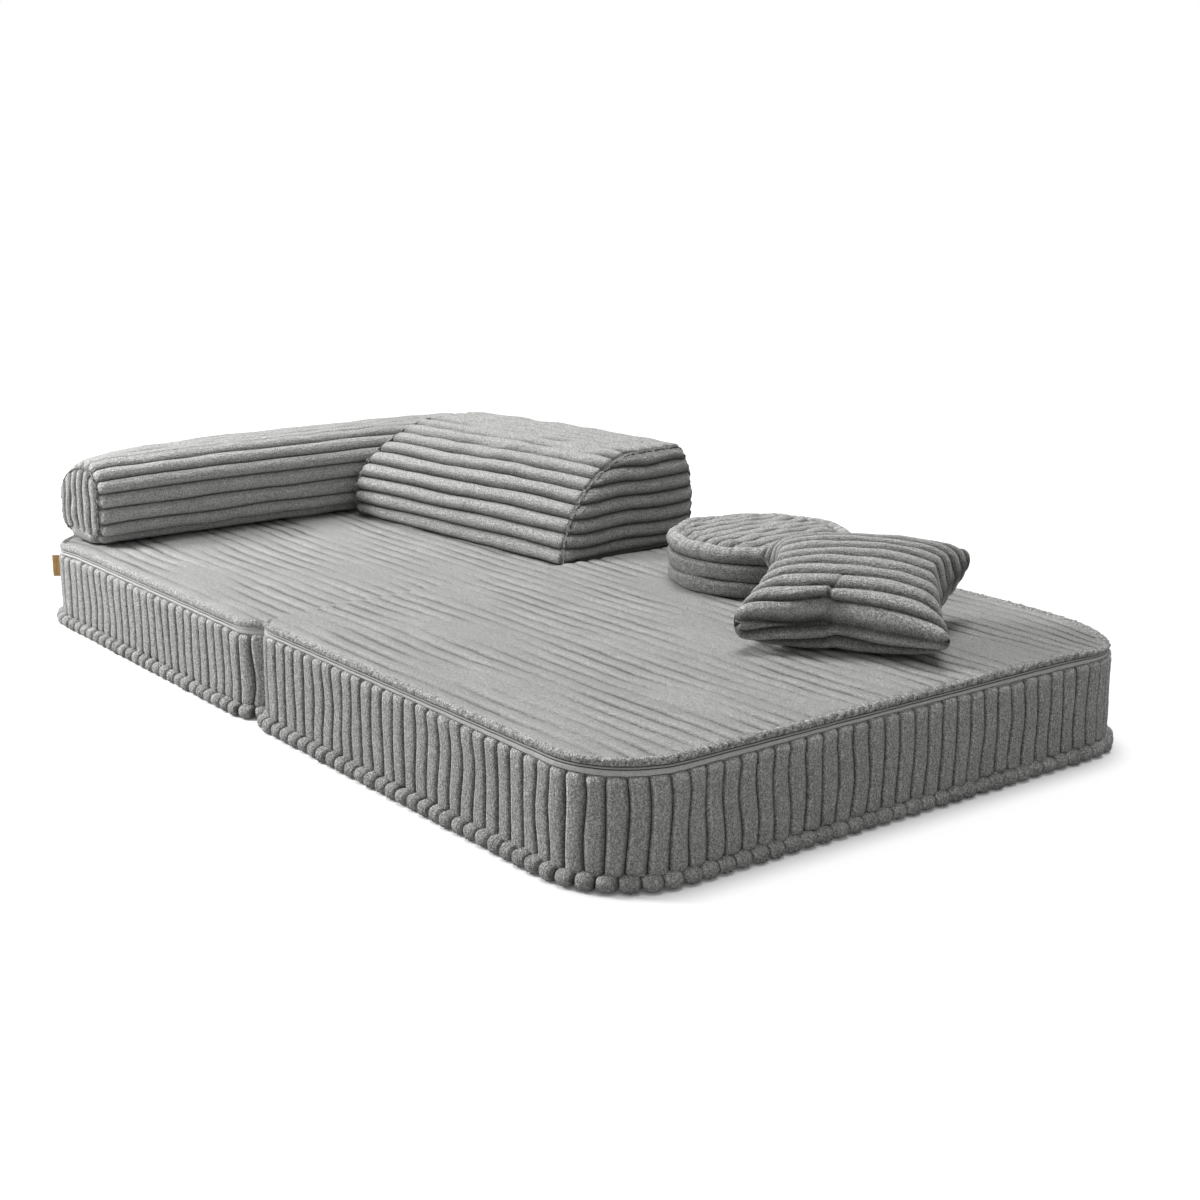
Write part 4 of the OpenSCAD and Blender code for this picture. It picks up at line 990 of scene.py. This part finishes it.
def end_panel(name, body, path, level, count, seed, place, replaced, swell_by, back):
    """A bolster's end panel: a stuffed plate with count ribs of its own, level or upright, puckered
    where it is sewn in. swell_by is how far its middle stands out, back how far its edge is in."""
    low, high = path.min(0), path.max(0)
    step = 12
    obj, column, row, layer, across, _ = plate_blank(name, 70, count * step)
    share = edge_steps(across)[column]
    t = np.where(row == count * step, 1.0, rib_steps(step)[row % step])
    i = np.minimum(row // step, count - 1)
    swing, soft = waves(seed, 120), waves(seed + 1, 40)
    tuft, pucker = waves(seed + 2, 8), waves(seed + 4, 11)
    v = (i + t) / count
    axis = 1 if level else 0
    lo_v, hi_v = low[axis] + 2.0, high[axis] - 2.0
    fade = unit(np.minimum(v, 1 - v) * 10)
    q = lo_v + (hi_v - lo_v) * v + fade * 2.4 * swing(share * 150, v * 120)
    # Where each rib starts and ends inside the outline
    cuts = 240
    grid = np.linspace(lo_v - 0.5, hi_v + 0.5, cuts)
    lo_u, hi_u = np.empty(cuts), np.empty(cuts)
    closed = np.concatenate([path, path[:1]])
    a, b = closed[:-1], closed[1:]
    for k, level_at in enumerate(grid):
        va, vb = a[:, axis] - level_at, b[:, axis] - level_at
        m = (va <= 0) != (vb <= 0)
        f = va[m] / (va[m] - vb[m])
        hit = a[m][:, 1 - axis] + f * (b[m] - a[m])[:, 1 - axis]
        lo_u[k], hi_u[k] = hit.min(), hit.max()
    u0, u1 = np.interp(q, grid, lo_u) + 2.2, np.interp(q, grid, hi_u) - 2.2
    mid = (u0 + u1) / 2
    u0, u1 = np.minimum(u0, mid - 1), np.maximum(u1, mid + 1)
    u = u0 + share * (u1 - u0)
    px, py = (u, q) if level else (q, u)
    d, gx, gy = edge_distance(path, px, py)
    d = np.maximum(0, d - 2.0)
    height = rib(t, 2.05) * unit(d / 6) ** 0.5
    swell = 1 - np.exp(-d / 13.0)
    edge = np.exp(-d / 5.0)
    far = back - swell_by * swell - 7.0 * (height - 1)
    far = far - 1.4 * edge * pucker(px, py) - 0.5 * soft(px, py) - 0.12 * tuft(px, py)
    far = np.where(layer == 0, back + 8.0, np.maximum(far, -5.0))
    lean = np.where(layer == 0, 3.0, 0) * edge
    px, py = px - gx * lean, py - gy * lean
    place_points(obj, place(px, np.maximum(py, 0.6), far))
    # Painted shade on one flank of each rib (the lower one where the ribs lie level) and a painted
    # highlight on the other, and paler beside its seam
    down = 1 - t if level else t
    crest = height * (1 - 0.45 * unit((down - 0.45) / 0.45))
    painted_glint = 0.5 * hump(down, 0.16, 0.08) * height
    lay_pile(obj, u, q, np.where(layer == 0, 0, crest), stroke=0.3 * edge + painted_glint)
    face_out(obj)
    return finish(obj, body, [plush_bolster], replaced)


def seam_roll(name, body, path, at, radius, seed, place, replaced):
    """The narrow roll of cloth round an end seam, pinched by its stitches."""
    total = path_length(path)
    around, n = 8, int(total / 2.2)
    obj, column, row = tube_blank(name, around, n)
    s = row * total / (n - 1)
    x, y, nx, ny = along_path(path, s)
    turn = 2 * PI * column / around
    wobble, ragged = waves(seed, 14), waves(seed + 1, 6)
    r = radius * (1 - 0.3 * (row % 3 == 0)) * np.where((row == 0) | (row == n - 1), 0.3, 1.0)
    out = r * np.cos(turn) - 4.4 + 0.8 * wobble(s, 0) + 0.4 * ragged(s, 0)
    side = at + r * np.sin(turn) + 0.6 * wobble(0 * s, s) + 0.4 * ragged(0 * s, s)
    place_points(obj, place(x + nx * out, np.maximum(0.4, y + ny * out), side))
    lay_pile(obj, s, turn * radius, unit(0.45 + 0.5 * ragged(s, turn)), wrap=(1, 2 * PI * radius))
    face_out(obj)
    return finish(obj, body, [plush_bolster], replaced)


BOLSTER_Z = 110.3
ARM_X, ARM_Y, ARM_LEN = -589.65, -328.0, 595.0
# The backrest's depth, its length that fits between the armrest and the joint, and its left foot
BACK_DEEP = 205
BACK_COS, BACK_SIN = math.cos(math.radians(BACK_TURN)), math.sin(math.radians(BACK_TURN))
BACK_LEN = (438.7 - BACK_DEEP * BACK_SIN) / BACK_COS
BACK_X = -15.65 - BACK_LEN * BACK_COS
BACK_Y = 274.0 - BACK_DEEP * BACK_COS - BACK_LEN * BACK_SIN


def backrest():
    """The curved wedge behind the seat."""
    def place(px, py, far):
        # The cushion is softest at the armrest: there it bulges forward and fills the gap
        k = far / BACK_LEN
        front = unit((140 - px) / 140)
        bulge = unit(1 - k) ** 1.6 * front * (5 + 19 * np.sin(PI * unit(py / 126)))
        # Its back sags outwards, most of all at the free end
        sag = (5 + 10 * unit(k)) * unit((px - 150) / 55) * np.sin(PI * unit(py / 112)) ** 0.8
        v = px - bulge + sag
        u = far - 12 * np.exp(-far / 60) * unit(1 - px / BACK_DEEP)
        z = py * (0.976 + 0.042 * k + 0.014 * np.sin(PI * unit(k)))
        return np.stack([BACK_X + u * BACK_COS - v * BACK_SIN,
                         BACK_Y + u * BACK_SIN + v * BACK_COS, BOLSTER_Z + z], axis=1)

    def mirrored(px, py, far):
        return place(px, py, BACK_LEN - far)
    path = back_section()
    bolster_wrap("backrest_plush", "backrest", path, BACK_LEN, 101, place,
                 ["backrest_main_panel", "backrest_foam", "backrest_base_panel",
                  "backrest_loop_strip"], noses=(4.0, 5.0), pile=plush_bolster)
    end_panel("backrest_right_end", "backrest", path, True, 7, 131, mirrored,
              ["backrest_end_right"], swell_by=9.0, back=5.5)
    end_panel("backrest_left_end", "backrest", path, True, 7, 137, place,
              ["backrest_end_left"], swell_by=6.0, back=5.5)
    seam_roll("backrest_right_seam", "backrest", path, 8.0, 1.5, 141, mirrored, ["backrest_edging"])
    seam_roll("backrest_left_seam", "backrest", path, 8.0, 1.6, 143, place, [])


def armrest():
    """The straight bolster at the seat's free end."""
    def place(px, py, far):
        # The near end is stuffed softer, so its outer top corner is rounder and lower
        soft_end = np.exp(-np.maximum(far, 0) / 45.0)
        outer = unit((90 - px) / 90)
        drop = soft_end * (4.0 + 40.0 * outer ** 1.7) * unit(py / 106) ** 2
        rise = 1 + 0.022 * np.sin(PI * unit(far / ARM_LEN))
        return np.stack([ARM_X + px + 4.0 * soft_end * outer, ARM_Y + far,
                         BOLSTER_Z + py * rise - drop], axis=1)

    def mirrored(px, py, far):
        return place(px, py, ARM_LEN - far)
    path, panel = arm_section(), arm_section(5.5)
    bolster_wrap("armrest_plush", "armrest", path, ARM_LEN, 201, place,
                 ["armrest_main_panel", "armrest_foam", "armrest_base_panel",
                  "armrest_loop_strip"], noses=(8.5, 8.5), pile=plush_painted_lit)
    end_panel("armrest_front_end", "armrest", panel, False, 6, 231, place,
              ["armrest_end_front"], swell_by=4.5, back=2.5)
    end_panel("armrest_back_end", "armrest", panel, False, 6, 237, mirrored,
              ["armrest_end_back"], swell_by=4.5, back=2.5)
    seam = arm_section(4.0)
    seam_roll("armrest_front_seam", "armrest", seam, 4.0, 1.3, 241, place, ["armrest_edging"])
    seam_roll("armrest_back_seam", "armrest", seam, 4.0, 1.3, 243, mirrored, [])


backrest()
armrest()


# Round cushion
ROUND_X, ROUND_Y, ROUND_R, ROUND_Z, BAND_H = 187.65, 195.0, 105.0, 118.3, 54.0


def round_band():
    """The cushion's side: plump ribs round it, the top one curling over as a rim."""
    around, step, rim_steps = 220, 13, 14
    # Two rows turn in at the foot, the two lower ribs stand upright, the third rolls over the top
    upright = 2 + 2 * step
    obj, column, row = tube_blank("round_cushion_side", around, upright + rim_steps + 1)
    turn = 2 * PI * column / around
    soft, tuft, fine = waves(301, 60), waves(303, 8), waves(305, 5)
    way = turn * ROUND_R
    ax, ay = np.cos(turn) * ROUND_R, np.sin(turn) * ROUND_R
    k = np.clip(row - 2, 0, 2 * step)
    t = np.where(k == 2 * step, 1.0, rib_steps(step)[k % step])
    i = np.minimum(k // step, 1)
    rib_h = 19.0
    inner = unit(np.minimum(k, 2 * step - k) / step)
    z = (i + t) * rib_h + 1.2 * soft(ax, ay + i * 50) * inner
    height = rib(t, 2.6)
    crush = 0.14 * soft(ax * 2 + 30, ay * 2 + i * 90)
    depth = 4.5 - 4.5 * height * (1 + crush) - 0.7 * soft(ax + z, ay) - 0.14 * tuft(way, z) * height
    depth = depth + 3.0 * np.exp(-z / 8.0)
    # The rim: a roll from its lower seam round the outside, over the top and down inside
    m = np.clip(row - upright, 0, rim_steps)
    angle = np.radians(-68 + m * 268 / rim_steps)
    rim_r = 9.6 * (1 + 0.05 * soft(ax * 1.5, ay * 1.5 + 70) + 0.06 * fine(way, m * 3.0))
    roll_z = 2 * rib_h + 9.0 + rim_r * np.sin(angle) * 0.98 + 0.8 * soft(ax, ay + 150)
    roll_depth = 9.0 - rim_r * np.cos(angle) - 0.7 * soft(ax + 20, ay) + 0.25 * tuft(way, m * 2.0)
    on_rim = m > 0
    z = np.where(on_rim, roll_z, z)
    depth = np.where(on_rim, roll_depth, depth)
    height = np.where(on_rim, rib(unit(m / rim_steps), 2.1), height)
    first = row < 2
    depth = np.where(row == 0, 16.0, np.where(row == 1, 7.0, depth))
    z = np.where(first, 0.5, np.maximum(z, 0.4))
    r = ROUND_R - depth
    x, y = r * np.cos(turn), r * np.sin(turn)
    place_points(obj, np.stack([ROUND_X + x, ROUND_Y + y, ROUND_Z + z], axis=1))
    # Painted highlight along the rim's top and at each rib's upper edge; painted shade on each rib's
    # lower part and on the tucked foot rows
    painted_highlight = np.where(on_rim, hump(m, 8.0, 3.6) * unit(0.6 + 0.5 * fine(way, way * 0)),
                     0.35 * hump(t, 0.84, 0.08))
    crest = height * (1 - 0.3 * unit((0.4 - t) / 0.4) * ~on_rim)
    lay_pile(obj, way, z, np.where(first, 0.3, crest), wrap=(0, 2 * PI * ROUND_R), stroke=painted_highlight)
    face_out(obj)
    return finish(obj, "round_cushion", [plush_painted_shade],
                  ["round_cushion_band", "round_cushion_filling", "round_cushion_bottom"])


def round_top():
    """Its top: crumpled ribs from front to back, gathered into the seam inside the rim."""
    r0 = ROUND_R - 13.0
    count, step = 10, 12
    obj, column, row, layer, across, _ = plate_blank("round_cushion_top_plush", 100, count * step)
    share = edge_steps(across)[column]
    t = np.where(row == count * step, 1.0, rib_steps(step)[row % step])
    i = np.minimum(row // step, count - 1)
    swing, soft = waves(311, 110), waves(313, 45)
    tuft, pucker = waves(315, 9), waves(317, 15)
    v = (i + t) / count
    fade = unit(np.minimum(v, 1 - v) * 8)
    x = (2 * v - 1) * (r0 - 0.3) + fade * 3.0 * swing(v * 210, share * 200)
    reach = np.sqrt(np.maximum(0, r0 ** 2 - x ** 2))
    y = (2 * share - 1) * reach
    d = np.maximum(0, r0 - np.hypot(x, y))
    relief = np.clip(0.85 + 0.45 * soft(x * 0.9, y * 0.5), 0.35, 1.2)
    height = 1 - relief * (1 - rib(t, 2.0))
    edge = np.exp(-d / 9.0)
    k = unit(d / 16.0)
    z = BAND_H + 4.0 - 9.0 * (1 - k) ** 2 - 5.0 * (1 - height) * (1 + 0.9 * np.exp(-d / 14))
    z = z + 3.0 * (1 - (np.hypot(x, y) / r0) ** 2) + 0.9 * soft(x, y) + 0.1 * tuft(x, y)
    z = z + 3.0 * edge * pucker(x * 1.2, y * 1.2)
    z = np.where(layer == 0, BAND_H - 16.0, z)
    place_points(obj, np.stack([ROUND_X + x, ROUND_Y + y, ROUND_Z + z], axis=1))
    # Painted shade near the rim, kept off the raised puckers, a painted highlight along one flank of
    # each rib, and the crests painted paler
    unshaded = unit(0.55 + 0.7 * pucker(x * 1.2, y * 1.2)) * unit(1.5 * height)
    crest = height * (1 - edge * (1 - unshaded))
    painted_glint = 0.3 * hump(t, 0.18, 0.1) * unit(relief - 0.3)
    lay_pile(obj, y, x, np.where(layer == 0, 0, crest), stroke=0.15 * height + painted_glint)
    face_out(obj)
    return finish(obj, "round_cushion", [plush_bolster], ["round_cushion_top"])


round_band()
round_top()


# Pillow
# The middle of its foot, its width, and how far it stands above and below its seam
PILLOW_X, PILLOW_Y, PILLOW_Z = 427.7, 107.6, 118.5
PILLOW_WIDE, PILLOW_UP, PILLOW_DOWN = 208.0, 50.0, 38.0


def turned(a, b, angle):
    """Two lengths at right angles, turned by an angle."""
    return a * math.cos(angle) - b * math.sin(angle), a * math.sin(angle) + b * math.cos(angle)


def pillow():
    """A slack square pillow: blown up as it would be stuffed, with a crease in its front edge."""
    cells, ribs = 40, 11
    obj, column, row, layer, across, along = plate_blank("pillow_plush", cells, cells)
    u = np.sin(PI / 2 * (2 * column / across - 1))
    v = np.sin(PI / 2 * (2 * row / along - 1))
    half = 104.0
    upper = layer == 1
    a, b = np.abs(u), np.abs(v)
    swell = ((1 - a ** 2.6) * (1 - b ** 2.6)) ** 0.5
    ear = np.sqrt(np.maximum(0, 1 - np.maximum(a, b) ** 5)) * (0.75 + 0.25 * (a * b) ** 2)
    x, y = u * (half - 13 * (1 - v * v)), v * (half - 11 * (1 - u * u))
    z = np.where(upper, 27 * swell + 13 * ear, -21 * swell - 12 * ear)
    # Its corners: two plump ones in front, pointed ones at the back
    corner = (a * b) ** 3
    x, y = x * (1 - 0.05 * corner), y * (1 - 0.05 * corner)
    rim = np.maximum(a, b) > 0.999
    z = np.where(rim, np.where(upper, 0.9, -0.9), z)
    place_points(obj, np.stack([x, y, z], axis=1))
    face_out(obj)
    take_up(obj)
    bpy.ops.object.modifier_add(type="CLOTH")
    cloth = obj.modifiers[-1]
    cloth.settings.quality = 6
    cloth.settings.mass = 0.3
    cloth.settings.tension_stiffness = 30
    cloth.settings.compression_stiffness = 18
    cloth.settings.shear_stiffness = 8
    cloth.settings.bending_stiffness = 1.2
    cloth.settings.use_pressure = True
    cloth.settings.uniform_pressure_force = 3.2
    cloth.settings.effector_weights.gravity = 0
    cloth.collision_settings.use_collision = False
    for f in range(1, 22):
        bpy.context.scene.frame_set(f)
    bpy.ops.object.modifier_apply(modifier=cloth.name)
    bpy.context.scene.frame_set(1)
    mark(obj.data, "fold_u", u)
    mark(obj.data, "fold_v", v)
    take_up(obj)
    bpy.ops.object.modifier_add(type="SUBSURF")
    obj.modifiers[-1].levels = obj.modifiers[-1].render_levels = 2
    bpy.ops.object.modifier_apply(modifier=obj.modifiers[-1].name)
    mesh = obj.data
    count = len(mesh.vertices)
    u, v = (np.empty(count, np.float32) for _ in range(2))
    for label, values in (("fold_u", u), ("fold_v", v)):
        mesh.attributes[label].data.foreach_get("value", values)
    normal = np.empty(count * 3)
    mesh.vertices.foreach_get("normal", normal)
    normal = normal.reshape(-1, 3)
    co = points_of(obj) / MM
    span = co[:, :2].max(0) - co[:, :2].min(0)
    co[:, :2] *= PILLOW_WIDE / span.max()
    top, low = co[:, 2].max(), -co[:, 2].min()
    co[:, 2] *= np.where(co[:, 2] > 0, PILLOW_UP / top, PILLOW_DOWN / low)
    swing, soft, tuft = waves(401, 120), waves(403, 50), waves(405, 9)
    # The crease that a hand left in the middle of its front edge breaks the ribs' lines
    fold_at = -0.08 + 0.05 * np.sin(v * 9)
    beside = np.clip((u - fold_at) / 0.05, -1, 1)
    front = unit((-0.5 - v) / 0.3)
    arc_v = np.arcsin(np.clip(v, -1, 1)) / (PI / 2)
    across = (0.5 * (arc_v + v) + 1) / 2 * ribs + 0.1 * swing(u * 110, v * 110)
    across = across + 0.13 * front * beside
    t = unit(across - np.floor(across))
    height = rib(t, 2.0)
    seam = unit(1 - np.maximum(np.abs(u), np.abs(v)))
    plump = (unit(-u) * unit(-v)) ** 3
    gather = np.maximum(unit(seam / 0.03) ** 0.5, np.clip(2 * plump, 0, 0.7))
    x, y = co[:, 0], co[:, 1]
    move = -7.5 * (1 - height) * gather + 0.14 * tuft(x, y) + 0.5 * soft(x, y)
    crease = hump(u, fold_at, 0.02) * front * (co[:, 2] > -1) * np.clip((1.0 + v) / 0.12, 0.25, 1)
    pinch = hump(u, -0.08, 0.25) * unit((-0.4 - v) / 0.5)
    move = move - 3.2 * crease
    co = co + normal * move[:, None]
    co[:, 1] += 6.0 * pinch
    # Its front left corner is plump, and the back right one blunt
    blunt = (unit(u) * unit(v)) ** 4
    co[:, :2] *= (1 - 0.06 * plump - 0.05 * blunt)[:, None]
    co = co + normal * (9.0 * plump + 7.0 * blunt + 3.5 * (unit(u) * unit(-v)) ** 4)[:, None]
    folded = (unit(-u) * unit(v)) ** 2.5
    co[:, 0] -= 14.0 * folded
    co[:, 1] -= 7.0 * folded
    # It lies turned and tilted, on its underside and its front corners
    tilt, turn = math.radians(8), math.radians(36)
    y, z = turned(co[:, 1], co[:, 2], tilt)
    ears = 8.0 * (unit(v) * unit(u)) ** 4
    z = z + ears
    x, y = turned(co[:, 0], y, turn)
    z = z - z.min()
    flat_on = 3.0
    z = np.where(z < flat_on, 0.4 * z + 0.6 * flat_on, z) - 0.6 * flat_on
    place_points(obj, np.stack([PILLOW_X + x, PILLOW_Y + y, PILLOW_Z + z], axis=1))
    # Painted shade on the near flank of each rib and a painted highlight on the far one, with painted
    # shade in the seam and in the crease
    crest = np.maximum(height, 0.8 * plump) * (0.35 + 0.65 * gather)
    crest = crest * (1 - 0.5 * unit((0.5 - t) / 0.5)) * (1 - 0.9 * crease)
    painted_glint = 0.8 * hump(t, 0.86, 0.07)
    lay_pile(obj, u * 105, v * 105, crest, stroke=painted_glint * gather)
    face_out(obj)
    return finish(obj, "pillow", [plush_bolster],
                  ["pillow_upper_cover", "pillow_lower_cover", "pillow_filling"])


pillow()


# Floor, light and camera
def seen_directly(tree):
    """1 for what the camera sees, straight on or in a gloss or through glass, and 0 for light."""
    path = add(tree, "ShaderNodeLightPath")
    looks = add(tree, "ShaderNodeMath",
                {0: path.outputs["Is Camera Ray"], 1: path.outputs["Is Glossy Ray"]},
                operation="MAXIMUM")
    return add(tree, "ShaderNodeMath",
               {0: looks.outputs[0], 1: path.outputs["Is Transmission Ray"]},
               operation="MAXIMUM").outputs[0]


def look(obj, way):
    """Turns a light or the camera the way given."""
    obj.rotation_euler = Vector(way).to_track_quat("-Z", "Y").to_euler()


def floor_and_light():
    """A floor of white paper, a white surround, a broad light and a soft box."""
    clear_selection()
    bpy.ops.mesh.primitive_plane_add(size=40, location=(0, 0, -0.0005))
    floor = bpy.context.object
    floor.name = "floor"
    material, tree, output = new_material("white_paper_floor")
    seen = seen_directly(tree)
    # Seen straight on it is white paper; what it throws back on the chair is a mid grey
    paper = add(tree, "ShaderNodeMix", {0: seen}, data_type="RGBA")
    paper.inputs[6].default_value = linear("#A8A8A8")
    paper.inputs[7].default_value = linear("#F2F2F2")
    diffuse = add(tree, "ShaderNodeBsdfDiffuse", {"Color": paper.outputs[2]})
    glow = add(tree, "ShaderNodeEmission", {"Strength": seen})
    glow.inputs["Color"].default_value = (0.07, 0.07, 0.07, 1)
    both = add(tree, "ShaderNodeAddShader", {0: diffuse.outputs[0], 1: glow.outputs[0]})
    tree.links.new(both.outputs[0], output.inputs[0])
    floor.data.materials.append(material)
    world = bpy.data.worlds.new("studio")
    bpy.context.scene.world = world
    world.use_nodes = True
    tree = world.node_tree
    tree.nodes.clear()
    seen = seen_directly(tree)
    soft = add(tree, "ShaderNodeBackground", inputs={"Color": (1, 1, 1, 1), "Strength": 0.36})
    white = add(tree, "ShaderNodeBackground", inputs={"Color": (1, 1, 1, 1), "Strength": 1.0})
    pick = add(tree, "ShaderNodeMixShader", {0: seen, 1: soft.outputs[0], 2: white.outputs[0]})
    add(tree, "ShaderNodeOutputWorld", {0: pick.outputs[0]})
    # The broad light is high up, a little behind on the left, and the soft box in front on the left
    bpy.ops.object.light_add(type="SUN", location=(0, 0, 2))
    key = bpy.context.object
    key.name = "key"
    key.data.angle, key.data.energy = math.radians(26), 2.4
    look(key, (0.15, -0.11, -0.983))
    bpy.ops.object.light_add(type="AREA", location=(-1.25, -1.35, 1.2))
    box = bpy.context.object
    box.name = "soft_box"
    box.data.shape, box.data.size = "DISK", 0.7
    box.data.energy = 46
    look(box, (0.95, 1.2, -1.1))


def camera():
    """Its place, direction and lens were solved from the pads' edges and upright corners."""
    data = bpy.data.cameras.new("camera")
    obj = bpy.data.objects.new("camera", data)
    bpy.context.collection.objects.link(obj)
    data.sensor_width, data.lens = 36.0, 56.04
    obj.location = (1.72855, -1.2184, 0.6212)
    look(obj, (-0.7687, 0.5904, -0.2460))
    bpy.context.scene.camera = obj


floor_and_light()
camera()
bpy.context.scene.view_settings.view_transform = "Standard"
